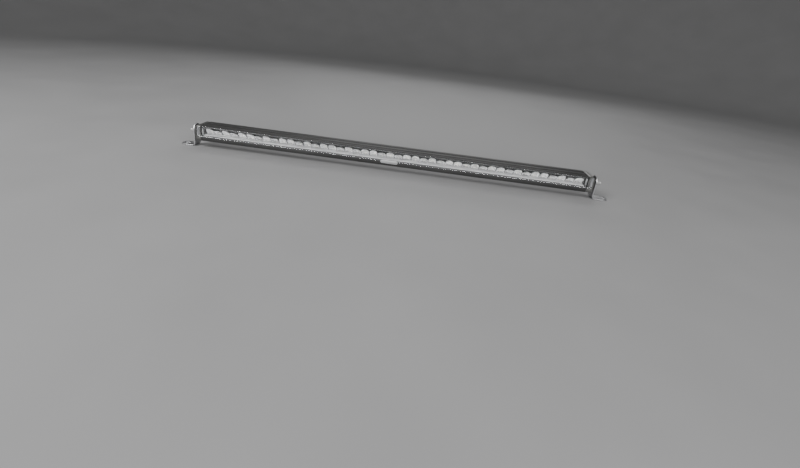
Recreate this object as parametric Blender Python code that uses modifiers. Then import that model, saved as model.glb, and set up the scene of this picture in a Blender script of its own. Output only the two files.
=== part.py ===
"""Slim LED light bar for a truck or trailer, on two hinged foot brackets.

Frame: metres, +Z up, +X along the bar, the lit face looks along -Y. The origin is
under the middle of the bar, on the plane that the two bracket feet stand on.
Lengths below are in millimetres. "yp" is the depth behind the plane of the front
bezel and "zp" is the height above the underside of the housing; at() turns them
into the frame's Y and Z.
"""

import math

import bmesh
import bpy
from mathutils import Vector

MM = 0.001

# ---------------------------------------------------------------- driving sizes
BODY_LENGTH = 1250.0  # over the end caps
BODY_HEIGHT = 50.0
BODY_DEPTH = 60.0
FOOT_DROP = 23.0  # underside of the housing above the foot plane
GAP = 0.3  # clearance between touching pieces

BADGE_FRONT = -1.1
REAR_MOST = 66.0  # end of the cable gland's nut
Y_MIDDLE = (BADGE_FRONT + REAR_MOST) / 2

CAP_THICK = 20.1
CAP_FACE = BODY_LENGTH / 2  # outer face of an end cap
CAP_INNER = CAP_FACE - CAP_THICK
CAP_SOFT, CAP_TOP_ROUND, CAP_LOW_ROUND = 3.0, 11.0, 7.0  # its corner radii, seen from above and from the front
SEAL_THICK = 0.8
HOUSING_END = CAP_INNER - 2 * GAP - SEAL_THICK

WALL_REAR_IN, WALL_REAR_OUT = 47.0, 50.0
LAND = 49.7  # flat milled through the fins round the gland and the vent
CAVITY_LOW, CAVITY_HIGH = 3.0, 46.6
FIN_COUNT, FIN_THICK = 8, 2.0

LENS_LOW, LENS_HIGH, LENS_HALF, LENS_ROUND = 13.0, 47.0, 619.7, 7.0
LENS_FRONT, LENS_BACK = 0.2, 2.5
RECESS_DEPTH = 3.9

MODULES, CELLS = 9, 5
ARRAY_HALF = 597.0
MODULE_PITCH = 2 * ARRAY_HALF / MODULES
MODULE_WIDTH = MODULE_PITCH - 0.4
CELL = MODULE_WIDTH / CELLS
FLOOR = 19.5  # top of the reflector floor
TALL, LOW = 21.5, 17.0  # rim heights of the two cell kinds above the floor
BOWL_BACK = 40.0
BOWL_A = 12.5  # depth = BOWL_BACK - x^2/BOWL_A - z^2/BOWL_B
BOWL_B = {"tall": TALL**2 / (BOWL_BACK - 3.5), "low": 8.3}
LED_DEPTH = BOWL_BACK - BOWL_B["tall"] / 4

PIVOT = (25.0, 27.0)  # yp, zp of the bracket pivot
PLATE = 3.0
BRACKET_IN = 631.0  # inner face of the bracket's leg
BRACKET_WIDE = 33.0
LEG_TOP = 49.5
FOOT_END = 682.0
BEND_IN = 6.0
SLOT_MIDDLE, SLOT_LONG, SLOT_WIDE = 664.5, 17.0, 8.5

SCREWS = ((10.0, 7.5), (42.5, 7.5), (17.0, 43.0), (42.5, 42.5))
CHANNEL_R, CHANNEL_HALF = 1.8, 3.6

GLAND_X, GLAND_Z = 520.0, 25.0
VENT_X = -520.0


def at(x, yp, zp):
    return Vector((x, yp - Y_MIDDLE, zp + FOOT_DROP)) * MM


# ------------------------------------------------------------------- the scene
for old in list(bpy.data.objects):
    bpy.data.objects.remove(old, do_unlink=True)

PARTS = bpy.data.collections.new("led_light_bar")
HELPERS = bpy.data.collections.new("cutters")
for group in (PARTS, HELPERS):
    bpy.context.scene.collection.children.link(group)
HELPERS.hide_render = True

ALONG_X = (math.pi / 2, 0.0, math.pi / 2)  # outline in Y,Z, thickness along X
ALONG_Y = (math.pi / 2, 0.0, 0.0)  # outline in X,Z, thickness along Y
ALONG_Z = (0.0, 0.0, 0.0)  # outline in X,Y, thickness along Z
AXIS_RIGHT, AXIS_LEFT = (0.0, math.pi / 2, 0.0), (0.0, -math.pi / 2, 0.0)
AXIS_BACK = (-math.pi / 2, 0.0, 0.0)


def material(name, colour, roughness, metallic=0.0, alpha=1.0, transmission=0.0):
    made = bpy.data.materials.new(name)
    made.use_nodes = True
    shader = made.node_tree.nodes["Principled BSDF"]
    shader.inputs["Base Color"].default_value = (*colour, 1.0)
    shader.inputs["Roughness"].default_value = roughness
    shader.inputs["Metallic"].default_value = metallic
    shader.inputs["Alpha"].default_value = alpha
    shader.inputs["Transmission Weight"].default_value = transmission
    made.diffuse_color = (*colour, alpha)
    return made


BLACK_METAL = material("black_coated_aluminium", (0.035, 0.035, 0.038), 0.45, 0.6)
CAP_METAL = material("cast_end_cap", (0.06, 0.06, 0.06), 0.4, 0.5)
CLEAR = material("clear_polycarbonate", (0.9, 0.92, 0.93), 0.05, 0.0, 0.35, 1.0)
MIRROR_COAT = material("reflector_coating", (0.82, 0.82, 0.83), 0.12, 1.0)
TRIM_METAL = material("satin_trim", (0.45, 0.45, 0.46), 0.35, 0.9)
SILICONE = material("grey_silicone", (0.2, 0.2, 0.2), 0.6)
BLACK_RUBBER = material("black_rubber", (0.02, 0.02, 0.02), 0.7)
BOARD_WHITE = material("white_led_board", (0.75, 0.75, 0.72), 0.4)
BOARD_GREEN = material("driver_laminate", (0.02, 0.12, 0.05), 0.45)
PLAIN_ALUMINIUM = material("plain_aluminium", (0.6, 0.6, 0.61), 0.35, 1.0)
STEEL = material("stainless_steel", (0.55, 0.55, 0.54), 0.3, 1.0)
BRACKET_STEEL = material("bracket_steel", (0.3, 0.3, 0.31), 0.38, 0.9)
BLACK_PLASTIC = material("black_plastic", (0.02, 0.02, 0.021), 0.4)
BADGE_SILVER = material("badge_silver", (0.7, 0.7, 0.7), 0.25, 0.9)
CAN_METAL = material("component_can", (0.5, 0.5, 0.52), 0.3, 1.0)
FERRITE = material("ferrite", (0.05, 0.05, 0.055), 0.55)
WIRE_RED = material("red_insulation", (0.5, 0.02, 0.02), 0.45)
WIRE_BLACK = material("black_insulation", (0.02, 0.02, 0.02), 0.45)


# ---------------------------------------------------------------- shape helpers
def arc(centre, radius, start, end, steps):
    """Points from start to end degrees, both included."""
    return [
        (
            centre[0] + radius * math.cos(math.radians(start + (end - start) * i / steps)),
            centre[1] + radius * math.sin(math.radians(start + (end - start) * i / steps)),
        )
        for i in range(steps + 1)
    ]


def round_box(low, high, radius, steps=4):
    """A rectangle's outline with round corners, anticlockwise."""
    (x0, y0), (x1, y1) = low, high
    r = radius
    return (
        arc((x1 - r, y0 + r), r, -90, 0, steps)
        + arc((x1 - r, y1 - r), r, 0, 90, steps)
        + arc((x0 + r, y1 - r), r, 90, 180, steps)
        + arc((x0 + r, y0 + r), r, 180, 270, steps)
    )


def meshed(obj, name, scale=1.0, flat_caps=False):
    """The evaluated shape of an object as a new welded mesh; the object is removed."""
    bpy.context.view_layer.update()
    graph = bpy.context.evaluated_depsgraph_get()
    mesh = bpy.data.meshes.new_from_object(obj.evaluated_get(graph))
    mesh.name = name
    data = obj.data
    bpy.data.objects.remove(obj, do_unlink=True)
    if isinstance(data, bpy.types.Curve):
        bpy.data.curves.remove(data)
    work = bmesh.new()
    work.from_mesh(mesh)
    bmesh.ops.scale(work, vec=(scale, scale, scale), verts=work.verts)
    bmesh.ops.remove_doubles(work, verts=work.verts, dist=2e-6)
    if flat_caps:  # each cap becomes one face, with none of the fill's thin triangles
        bmesh.ops.dissolve_limit(
            work, angle_limit=math.radians(0.2), verts=work.verts, edges=work.edges, use_dissolve_boundaries=False
        )
    bmesh.ops.recalc_face_normals(work, faces=work.faces)
    work.to_mesh(mesh)
    work.free()
    return mesh


def outline_mesh(name, loops, thickness):
    """Flat outlines, filled and given a thickness about their plane.

    The curve is drawn at a metre for each millimetre, because a fill drops detail
    much under a millimetre, and its mesh is scaled down afterwards.
    """
    curve = bpy.data.curves.new(name, "CURVE")
    curve.dimensions = "2D"
    curve.fill_mode = "BOTH"
    curve.extrude = thickness / 2
    for loop in loops:
        spline = curve.splines.new("POLY")
        spline.points.add(len(loop) - 1)
        for point, (u, v) in zip(spline.points, loop):
            point.co = (u, v, 0.0, 1.0)
        spline.use_cyclic_u = True
    holder = bpy.data.objects.new(name, curve)
    PARTS.objects.link(holder)
    return meshed(holder, name, MM, flat_caps=len(loops) == 1)


def add(name, mesh, paint, location=(0, 0, 0), rotation=(0, 0, 0), smooth=True):
    if smooth:
        mesh.shade_smooth()
        mesh.set_sharp_from_angle(angle=math.radians(35))
    obj = bpy.data.objects.new(name, mesh)
    PARTS.objects.link(obj)
    obj.location = location
    obj.rotation_euler = rotation
    if paint and not mesh.materials:
        mesh.materials.append(paint)
    return obj


def extruded(name, loops, thickness, rotation, location, paint):
    return add(name, outline_mesh(name, loops, thickness), paint, location, rotation)


def helper(name, mesh, location=(0, 0, 0), rotation=(0, 0, 0)):
    obj = bpy.data.objects.new(name, mesh)
    HELPERS.objects.link(obj)
    obj.location = location
    obj.rotation_euler = rotation
    obj.hide_render = True
    obj.display_type = "WIRE"
    return obj


def box_mesh(name, size):
    work = bmesh.new()
    bmesh.ops.create_cube(work, size=1.0)
    bmesh.ops.scale(work, vec=Vector(size) * MM, verts=work.verts)
    mesh = bpy.data.meshes.new(name)
    work.to_mesh(mesh)
    work.free()
    return mesh


def boxes_mesh(name, boxes):
    """Several separate boxes, each (low corner, high corner), in one mesh."""
    work = bmesh.new()
    for low, high in boxes:
        made = bmesh.ops.create_cube(work, size=1.0)["verts"]
        low, high = Vector(low), Vector(high)
        bmesh.ops.scale(work, vec=(high - low) * MM, verts=made)
        bmesh.ops.translate(work, vec=(high + low) * MM / 2, verts=made)
    mesh = bpy.data.meshes.new(name)
    work.to_mesh(mesh)
    work.free()
    return mesh


def cone_mesh(name, radius, length, sides):
    """A prism about local Z, centred."""
    work = bmesh.new()
    bmesh.ops.create_cone(
        work,
        cap_ends=True,
        segments=sides,
        radius1=radius * MM,
        radius2=radius * MM,
        depth=length * MM,
    )
    mesh = bpy.data.meshes.new(name)
    work.to_mesh(mesh)
    work.free()
    return mesh


def cut_box(name, low, high):
    """A cutter from one corner to the other, in (x, yp, zp)."""
    a, b = at(*low), at(*high)
    mesh = box_mesh(name, (b - a) / MM)
    return helper(name, mesh, (a + b) / 2)


def combine(obj, other, operation="DIFFERENCE"):
    step = obj.modifiers.new(operation.lower(), "BOOLEAN")
    step.operation = operation
    step.solver = "EXACT"
    step.object = other
    return obj


def turned(name, profile, steps, paint, location, rotation, ring=False):
    """A turned shape about local Z. The profile is (radius, height), down its outer side."""
    mesh = bpy.data.meshes.new(name)
    points = [(r * MM, 0.0, h * MM) for r, h in profile]
    edges = [(i, i + 1) for i in range(len(points) - 1)]
    if ring:
        edges.append((len(points) - 1, 0))
    mesh.from_pydata(points, edges, [])
    obj = bpy.data.objects.new(name, mesh)
    PARTS.objects.link(obj)
    obj.location = location
    obj.rotation_euler = rotation
    turn = obj.modifiers.new("turn", "SCREW")
    turn.axis = "Z"
    turn.angle = 2 * math.pi
    turn.steps = turn.render_steps = steps
    turn.use_merge_vertices = True
    turn.merge_threshold = 1e-5
    turn.use_smooth_shade = True
    mesh.materials.append(paint)
    return obj


def washer_profile(inner, outer, thick):
    return [(outer, thick / 2), (outer, -thick / 2), (inner, -thick / 2), (inner, thick / 2)]


# -------------------------------------------------------------------- housing
def channel(centre, opening):
    """The keyhole of a screw channel: an almost full circle, entered from the side at the angle given."""
    mouth = math.degrees(math.asin(0.6 / CHANNEL_R))
    return arc(centre, CHANNEL_R, opening + mouth, opening + 360 - mouth, 8)


def housing_outline():
    """The extrusion's section in (yp, zp), open at the front, with its screw channels, grooved top and rear fins."""
    front_low, front_high = 12.6, 47.4
    out = [(0.0, front_low), (0.0, 2.2), (0.7, 0.7), (2.2, 0.0)]
    for middle in (16.0, 30.0, 44.0):
        out += [(middle - 2.5, 0.0), (middle - 2.0, 1.0), (middle + 2.0, 1.0), (middle + 2.5, 0.0)]
    # rear fins, bottom to top, between the rear wall and the full depth
    pitch = (BODY_HEIGHT - FIN_THICK) / (FIN_COUNT - 1)
    for i in range(FIN_COUNT):
        low = i * pitch
        high = low + FIN_THICK
        if i:
            out += [(WALL_REAR_OUT, low - 0.3), (BODY_DEPTH - 0.5, low)]
        else:
            out += [(BODY_DEPTH - 0.5, low)]
        out += [(BODY_DEPTH, low + 0.5), (BODY_DEPTH, high - 0.5), (BODY_DEPTH - 0.5, high)]
        if i < FIN_COUNT - 1:
            out += [(WALL_REAR_OUT, high + 0.3)]
    # top face, rear to front: two broad grooves, each with a low rib
    for low, high in ((34.0, 46.0), (9.0, 21.0)):
        middle = (low + high) / 2
        out += [
            (high, BODY_HEIGHT),
            (high - 1.2, BODY_HEIGHT - 1.5),
            (middle + 1.4, BODY_HEIGHT - 1.5),
            (middle + 0.8, BODY_HEIGHT - 0.5),
            (middle - 0.8, BODY_HEIGHT - 0.5),
            (middle - 1.4, BODY_HEIGHT - 1.5),
            (low + 1.2, BODY_HEIGHT - 1.5),
            (low, BODY_HEIGHT),
        ]
    out += [(3.0, BODY_HEIGHT), (1.4, BODY_HEIGHT - 0.4), (0.4, BODY_HEIGHT - 1.3), (0.0, front_high + 0.3)]
    out += [(0.3, front_high), (RECESS_DEPTH, front_high), (RECESS_DEPTH, 45.2), (6.0, 45.2), (6.0, CAVITY_HIGH)]
    # inside, front to rear along the top, then down and back along the bottom
    h = CHANNEL_HALF
    y, z = SCREWS[2]
    out += [(y - h, CAVITY_HIGH), (y - h, z - h), (y - 0.6, z - h)]
    out += channel((y, z), 270)[::-1]
    out += [(y + 0.6, z - h), (y + h, z - h), (y + h, CAVITY_HIGH - 0.3)]
    y, z = SCREWS[3]
    out += [(y - h, CAVITY_HIGH - 0.3), (y - h, z + 0.6)]
    out += channel((y, z), 180)[::-1]
    out += [(y - h, z - 0.6), (y - h, z - h), (WALL_REAR_IN, z - h)]
    y, z = SCREWS[1]
    out += [(WALL_REAR_IN, z + h), (y - h, z + h), (y - h, z + 0.6)]
    out += channel((y, z), 180)[::-1]
    out += [(y - h, z - 0.6), (y - h, CAVITY_LOW)]
    y, z = SCREWS[0]
    out += [(y + h, CAVITY_LOW), (y + h, z - 0.6)]
    out += channel((y, z), 0)[::-1]
    out += [(y + h, z + 0.6), (y + h, z + h), (6.0, z + h), (6.0, 15.2), (RECESS_DEPTH, 15.2), (RECESS_DEPTH, front_low)]
    return [(u - Y_MIDDLE, v + FOOT_DROP) for u, v in out]


housing = extruded("housing", [housing_outline()], 2 * HOUSING_END, ALONG_X, (0, 0, 0), BLACK_METAL)
combine(housing, cut_box("gland_land", (GLAND_X - 17, LAND, 10.2), (GLAND_X + 17, 62, 39.8)))
combine(housing, cut_box("vent_land", (VENT_X - 12, LAND, 10.2), (VENT_X + 12, 62, 39.8)))
combine(
    housing,
    helper("gland_hole", cone_mesh("gland_hole", 6.4, 12, 16), at(GLAND_X, 48.5, GLAND_Z), AXIS_BACK),
)
combine(
    housing,
    helper("vent_hole", cone_mesh("vent_hole", 3.4, 12, 12), at(VENT_X, 48.5, GLAND_Z), AXIS_BACK),
)


# ------------------------------------------------------------------- end caps
def cap_outline(soft=0.0, top=0.0, bottom=0.0):
    """The end cap's outline in (yp, zp), drawn in at the front and back, at the top and at the bottom."""
    low, high, deep = bottom, BODY_HEIGHT - top, BODY_DEPTH - 3.5
    r, front = 3.5 - soft, 4.5 - soft
    points = (
        arc((3.4, low + r - 0.1), r - 0.1, 180, 270, 3)
        + arc((deep, low + r), r, 270, 360, 3)
        + arc((deep, high - r), r, 0, 90, 3)
        + arc((4.5, high - front), front, 90, 180, 4)
    )
    return [(u - Y_MIDDLE, v + FOOT_DROP) for u, v in points]


lens_pocket = helper(
    "lens_pocket",
    outline_mesh(
        "lens_pocket",
        [
            round_box(
                (-LENS_HALF - 0.4, LENS_LOW - 0.4 + FOOT_DROP),
                (LENS_HALF + 0.4, LENS_HIGH + 0.4 + FOOT_DROP),
                LENS_ROUND + 0.4,
                5,
            )
        ],
        2 * RECESS_DEPTH,
    ),
    (0, -Y_MIDDLE * MM, 0),
    ALONG_Y,
)


def cap_rounding(short, radius):
    """How far a surface of this corner radius lies in, this short of the cap's outer face."""
    return radius - math.sqrt(radius**2 - max(0.0, radius - short) ** 2)


def cap_body(side):
    """The cap's solid: its outline, drawn in towards the outer face, most of all along the top."""
    half = CAP_THICK / 2
    sections = [(-side * half, cap_outline())]
    for short in (CAP_TOP_ROUND, 8.6, 6.6, 5.0, 3.7, CAP_SOFT, 1.9, 1.0, 0.35, 0.0):
        insets = [cap_rounding(short, radius) for radius in (CAP_SOFT, CAP_TOP_ROUND, CAP_LOW_ROUND)]
        sections.append((side * (half - short), cap_outline(*insets)))
    work = bmesh.new()
    rings = [[work.verts.new(Vector((u, v, x)) * MM) for u, v in outline] for x, outline in sections]
    for low, high in zip(rings, rings[1:]):
        for i in range(len(low)):
            j = (i + 1) % len(low)
            work.faces.new((low[i], low[j], high[j], high[i]))
    work.faces.new(rings[0])
    work.faces.new(rings[-1])
    bmesh.ops.recalc_face_normals(work, faces=work.faces)
    mesh = bpy.data.meshes.new("end_cap")
    work.to_mesh(mesh)
    work.free()
    return mesh


def end_cap(side, word):
    mesh = cap_body(side)
    middle = side * (CAP_INNER + CAP_FACE) / 2
    cap = add("end_cap_" + word, mesh, CAP_METAL, (middle * MM, 0, 0), ALONG_X)
    turn = AXIS_RIGHT if side > 0 else AXIS_LEFT

    boss = helper(
        f"{word}_boss",
        cone_mesh(f"{word}_boss", 13.0, 4.2, 24),
        at(side * (CAP_FACE + 0.6), *PIVOT),
        turn,
    )
    combine(cap, boss, "UNION")
    combine(cap, lens_pocket)
    spans = sorted((side * 600.0, side * 617.0))
    combine(cap, cut_box(f"{word}_cap_hollow", (spans[0], 11.0, 15.6), (spans[1], 38.0, 38.5)))
    spans = sorted((side * 600.0, side * 608.0))
    combine(cap, cut_box(f"{word}_cap_window", (spans[0], 1.0, 15.6), (spans[1], 11.9, 45.0)))
    combine(
        cap,
        helper(
            f"{word}_pivot_hole",
            cone_mesh(f"{word}_pivot_hole", 4.3, 24, 16),
            at(side * 622, *PIVOT),
            turn,
        ),
    )
    for k, (yp, zp) in enumerate(SCREWS):
        combine(
            cap,
            helper(
                f"{word}_screw_hole_{k}",
                cone_mesh(f"{word}_screw_hole_{k}", 1.8, 30, 10),
                at(side * 612, yp, zp),
                turn,
            ),
        )
        combine(
            cap,
            helper(
                f"{word}_counterbore_{k}",
                cone_mesh(f"{word}_counterbore_{k}", 3.8, 8, 12),
                at(side * 624.4, yp, zp),
                turn,
            ),
        )
    return cap


for side, word in ((-1, "left"), (1, "right")):
    end_cap(side, word)
    # flat seal between the extrusion and the cap, with an eye for each screw
    seal = [
        (1.2, 1.2), (49.2, 1.2), (49.2, 48.6), (9.5, 48.6), (9.5, 39.0), (38.5, 39.0), (38.5, 12.0), (1.2, 12.0),
    ]
    loops = [[(u - Y_MIDDLE, v + FOOT_DROP) for u, v in seal]]
    for yp, zp in SCREWS:
        loops.append(arc((yp - Y_MIDDLE, zp + FOOT_DROP), 2.0, 0, 330, 11))
    extruded(
        f"end_gasket_{word}",
        loops,
        SEAL_THICK,
        ALONG_X,
        (side * (CAP_INNER - GAP - SEAL_THICK / 2) * MM, 0, 0),
        SILICONE,
    )

# ---------------------------------------------------------------- lens and seal
lens = extruded(
    "lens_cover",
    [
        round_box(
            (-LENS_HALF, LENS_LOW + FOOT_DROP), (LENS_HALF, LENS_HIGH + FOOT_DROP), LENS_ROUND, 5
        )
    ],
    LENS_BACK - LENS_FRONT,
    ALONG_Y,
    (0, ((LENS_BACK + LENS_FRONT) / 2 - Y_MIDDLE) * MM, 0),
    CLEAR,
)
soften = lens.modifiers.new("soften", "BEVEL")
soften.width = 0.0006
soften.segments = 1
soften.limit_method = "ANGLE"
soften.angle_limit = math.radians(60)

extruded(
    "lens_gasket",
    [
        round_box((-LENS_HALF + 0.5, 13.5 + FOOT_DROP), (LENS_HALF - 0.5, 46.5 + FOOT_DROP), 6.5, 4),
        round_box((-LENS_HALF + 8.0, 14.9 + FOOT_DROP), (LENS_HALF - 8.0, 45.4 + FOOT_DROP), 2.0, 2),
    ],
    0.8,
    ALONG_Y,
    (0, (3.2 - Y_MIDDLE) * MM, 0),
    SILICONE,
)


# ------------------------------------------------------------ reflector modules
def rim_height(kind, share):
    """Height of a cell's rim above the floor, share being the place across it from -1 to 1."""
    if kind == "low":
        return 3.0 + (LOW - 3.0) * math.sqrt(max(0.0, 1.0 - share**4))
    return 3.0 + (TALL - 3.0) * math.sqrt(max(0.0, 1.0 - share * share))


def bowl_depth(kind, x, z):
    return BOWL_BACK - x * x / BOWL_A - max(z, 0.0) ** 2 / BOWL_B[kind]


def module_mesh():
    """One moulding: a row of five open scoops on a floor plate with a window for each LED."""
    kinds = ("tall", "low", "tall", "low", "tall")
    columns = []
    for index, kind in enumerate(kinds):
        middle = (index - 2) * CELL
        shares = (-1.0, -0.72, 0.0, 0.72, 1.0) if kind == "tall" else (-1.0, -0.9, -0.6, 0.6, 0.9, 1.0)
        for share in shares:
            x = share * (CELL / 2 - 0.15)
            columns.append((kind, middle + x, x, rim_height(kind, share)))
    rows = (0.0, 0.45, 0.8, 1.0)
    work = bmesh.new()
    bmesh.ops.create_grid(work, x_segments=len(columns) - 1, y_segments=len(rows) - 1, size=1.0)
    for vert in work.verts:
        i = round((vert.co.x + 1) / 2 * (len(columns) - 1))
        j = round((vert.co.y + 1) / 2 * (len(rows) - 1))
        kind, x, local, rim = columns[i]
        z = -0.5 + (rim + 0.5) * rows[j]
        vert.co = Vector((x, bowl_depth(kind, local, z), z + FLOOR)) * MM
    wall = bmesh.ops.extrude_face_region(work, geom=list(work.faces))
    moved = [g for g in wall["geom"] if isinstance(g, bmesh.types.BMVert)]
    bmesh.ops.translate(work, vec=(0, 2.0 * MM, 0), verts=moved)
    bmesh.ops.recalc_face_normals(work, faces=work.faces)
    shell = bpy.data.meshes.new("scoops")
    work.to_mesh(shell)
    work.free()
    scoops = helper("scoops", shell)

    windows = bmesh.new()
    for index in range(CELLS):
        made = bmesh.ops.create_cone(
            windows, cap_ends=True, segments=6, radius1=3.6 * MM, radius2=3.6 * MM, depth=4 * MM
        )["verts"]
        bmesh.ops.translate(
            windows, vec=Vector(((index - 2) * CELL, LED_DEPTH, FLOOR - 0.6)) * MM, verts=made
        )
    window_mesh = bpy.data.meshes.new("led_windows")
    windows.to_mesh(window_mesh)
    windows.free()
    cutter = helper("led_windows", window_mesh)

    floor = boxes_mesh(
        "floor_plate", [((-MODULE_WIDTH / 2, 4.3, FLOOR - 1.2), (MODULE_WIDTH / 2, 42.6, FLOOR))]
    )
    plate = bpy.data.objects.new("floor_plate", floor)
    PARTS.objects.link(plate)
    combine(plate, cutter)
    combine(plate, scoops, "UNION")
    made = meshed(plate, "reflector_module")
    bpy.data.objects.remove(scoops, do_unlink=True)
    bpy.data.objects.remove(cutter, do_unlink=True)
    return made


MODULE = module_mesh()
for index in range(MODULES):
    add(
        f"reflector_module_{index + 1}",
        MODULE,
        MIRROR_COAT,
        at((index - (MODULES - 1) / 2) * MODULE_PITCH, 0, 0),
    )

# ----------------------------------------------------- LED boards and heat path
BOARD_LENGTH = 3 * MODULE_PITCH - 0.6
CELL_PITCH = CELL


def led_places():
    """x of the fifteen LEDs of one board, from the board's middle."""
    return [
        module * MODULE_PITCH + (cell - 2) * CELL_PITCH for module in (-1, 0, 1) for cell in range(CELLS)
    ]


leds = boxes_mesh(
    "led_packages",
    [((x - 1.7, LED_DEPTH - 1.7, 17.6), (x + 1.7, LED_DEPTH + 1.7, 19.0)) for x in led_places()],
)
led_helper = helper("led_packages", leds)
board_plate = bpy.data.objects.new(
    "board_plate", boxes_mesh("board_plate", [((-BOARD_LENGTH / 2, 8.2, 16.5), (BOARD_LENGTH / 2, 42.4, 17.9))])
)
PARTS.objects.link(board_plate)
combine(board_plate, led_helper, "UNION")
BOARD = meshed(board_plate, "led_board")
bpy.data.objects.remove(led_helper, do_unlink=True)
for index in range(3):
    add(f"led_board_{index + 1}", BOARD, BOARD_WHITE, at((index - 1) * 3 * MODULE_PITCH, 0, 0), smooth=False)

spreader_outline = [(8.2, 13.6), (46.6, 13.6), (46.6, 37.5), (44.4, 37.5), (44.4, 16.2), (8.2, 16.2)]
spreader = extruded(
    "heat_spreader",
    [[(u - Y_MIDDLE, v + FOOT_DROP) for u, v in spreader_outline]],
    2 * 596.0,
    ALONG_X,
    (0, 0, 0),
    PLAIN_ALUMINIUM,
)
combine(spreader, cut_box("gland_notch", (GLAND_X - 14, 41.5, 12), (GLAND_X + 14, 48, 39)))
combine(spreader, cut_box("wire_slot", (104, 27, 12), (126, 33, 18)))

# trims seen through the lens
upper = [(6.4, 46.3), (6.4, 45.2), (6.7, 43.8), (7.6, 42.7), (9.0, 41.9), (9.6, 42.8), (8.5, 43.5), (7.9, 44.3), (7.6, 45.4), (7.6, 46.3)]
extruded(
    "upper_trim",
    [[(u - Y_MIDDLE, v + FOOT_DROP) for u, v in upper]],
    2 * 602.0,
    ALONG_X,
    (0, 0, 0),
    TRIM_METAL,
)
lower = [(6.3, 14.0), (7.6, 14.0), (7.6, 17.9), (6.6, 17.9), (6.3, 17.4)]
extruded(
    "lower_trim",
    [[(u - Y_MIDDLE, v + FOOT_DROP) for u, v in lower]],
    2 * 602.0,
    ALONG_X,
    (0, 0, 0),
    TRIM_METAL,
)
for side, word in ((-1, "left"), (1, "right")):
    shape = [(598.4, 4.6), (602.6, 4.6), (602.6, 6.2), (600.0, 6.2), (600.0, 13.0), (598.4, 13.0)]
    extruded(
        f"reflector_end_trim_{word}",
        [[(side * u, v - Y_MIDDLE) for u, v in shape]],
        21.0,
        ALONG_Z,
        (0, 0, (31.0 + FOOT_DROP) * MM),
        TRIM_METAL,
    )

# ---------------------------------------------------------------- driver circuit
driver_board = add(
    "driver_board",
    box_mesh("driver_board", (150.0, 22.6, 1.6)),
    BOARD_GREEN,
    at(0, 27, 4.2),
    smooth=False,
)
turned("driver_inductor", [(0, 6.0), (5.4, 6.0), (6.0, 5.4), (6.0, 0), (0, 0)], 16, FERRITE, at(-40, 27, 5.3), ALONG_Z)
for word, x in (("input", -62.0), ("output", 22.0)):
    turned(
        f"driver_capacitor_{word}",
        [(0, 7.2), (3.6, 7.2), (4.0, 6.8), (4.0, 0), (0, 0)],
        14,
        CAN_METAL,
        at(x, 27, 5.3),
        ALONG_Z,
    )
add("driver_mosfet", box_mesh("driver_mosfet", (6.6, 9.0, 2.3)), BLACK_PLASTIC, at(-12, 27, 6.5), smooth=False)
add("driver_connector", box_mesh("driver_connector", (10.0, 8.0, 5.0)), BLACK_PLASTIC, at(54, 27, 7.8), smooth=False)


def smooth_route(points, count):
    """Points evenly spread along a smooth curve through the given ones."""
    out = []
    spans = len(points) - 1
    for i in range(count + 1):
        t = spans * i / count
        k = min(int(t), spans - 1)
        u = t - k
        p = [points[max(k - 1, 0)], points[k], points[k + 1], points[min(k + 2, spans)]]
        out.append(
            tuple(
                0.5
                * (
                    2 * p[1][a]
                    + (p[2][a] - p[0][a]) * u
                    + (2 * p[0][a] - 5 * p[1][a] + 4 * p[2][a] - p[3][a]) * u * u
                    + (3 * p[1][a] - p[0][a] - 3 * p[2][a] + p[3][a]) * u**3
                )
                for a in range(3)
            )
        )
    return out


for word, shift, paint in (("red", -1.6, WIRE_RED), ("black", 1.6, WIRE_BLACK)):
    route = [
        (59.6, 27 + shift, 8.2),
        (66.0, 27 + shift, 8.6),
        (84.0, 28 + shift, 9.6),
        (102.0, 30 + shift * 0.9, 10.0),
        (112.0, 30 + shift * 0.9, 11.4),
        (114.6, 30 + shift * 0.9, 15.5),
    ]
    curve = bpy.data.curves.new("wire_" + word, "CURVE")
    curve.dimensions = "3D"
    curve.bevel_depth = 0.8 * MM
    curve.bevel_resolution = 1
    curve.use_fill_caps = True
    spline = curve.splines.new("POLY")
    points = smooth_route(route, 18)
    spline.points.add(len(points) - 1)
    for point, place in zip(spline.points, points):
        point.co = (*at(*place), 1.0)
    curve.materials.append(paint)
    wire = bpy.data.objects.new("wire_" + word, curve)
    PARTS.objects.link(wire)

# -------------------------------------------------------------- gland and vent
HEX = 2 / math.sqrt(3)  # corner radius of a hexagon over its half width
gland = turned(
    "cable_gland_body",
    [(0, 9.7), (5.6, 9.7), (6.0, 9.3), (6.0, -7.3), (0, -7.3)],
    16,
    BLACK_PLASTIC,
    at(GLAND_X, 50.3, GLAND_Z),
    AXIS_BACK,
)
gland_flange = helper(
    "gland_flange", cone_mesh("gland_flange", 8.5 * HEX, 4.0, 6), at(GLAND_X, 52.1, GLAND_Z), AXIS_BACK
)
gland_bore = helper(
    "gland_bore", cone_mesh("gland_bore", 4.6, 40, 16), at(GLAND_X, 52, GLAND_Z), AXIS_BACK
)
combine(gland, gland_flange, "UNION")
combine(gland, gland_bore)

locknut = add(
    "cable_gland_locknut",
    cone_mesh("cable_gland_locknut", 8.0 * HEX, 3.2, 6),
    STEEL,
    at(GLAND_X, 45.1, GLAND_Z),
    AXIS_BACK,
)
combine(locknut, helper("locknut_bore", cone_mesh("locknut_bore", 6.35, 12, 16), at(GLAND_X, 45, GLAND_Z), AXIS_BACK))

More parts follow.
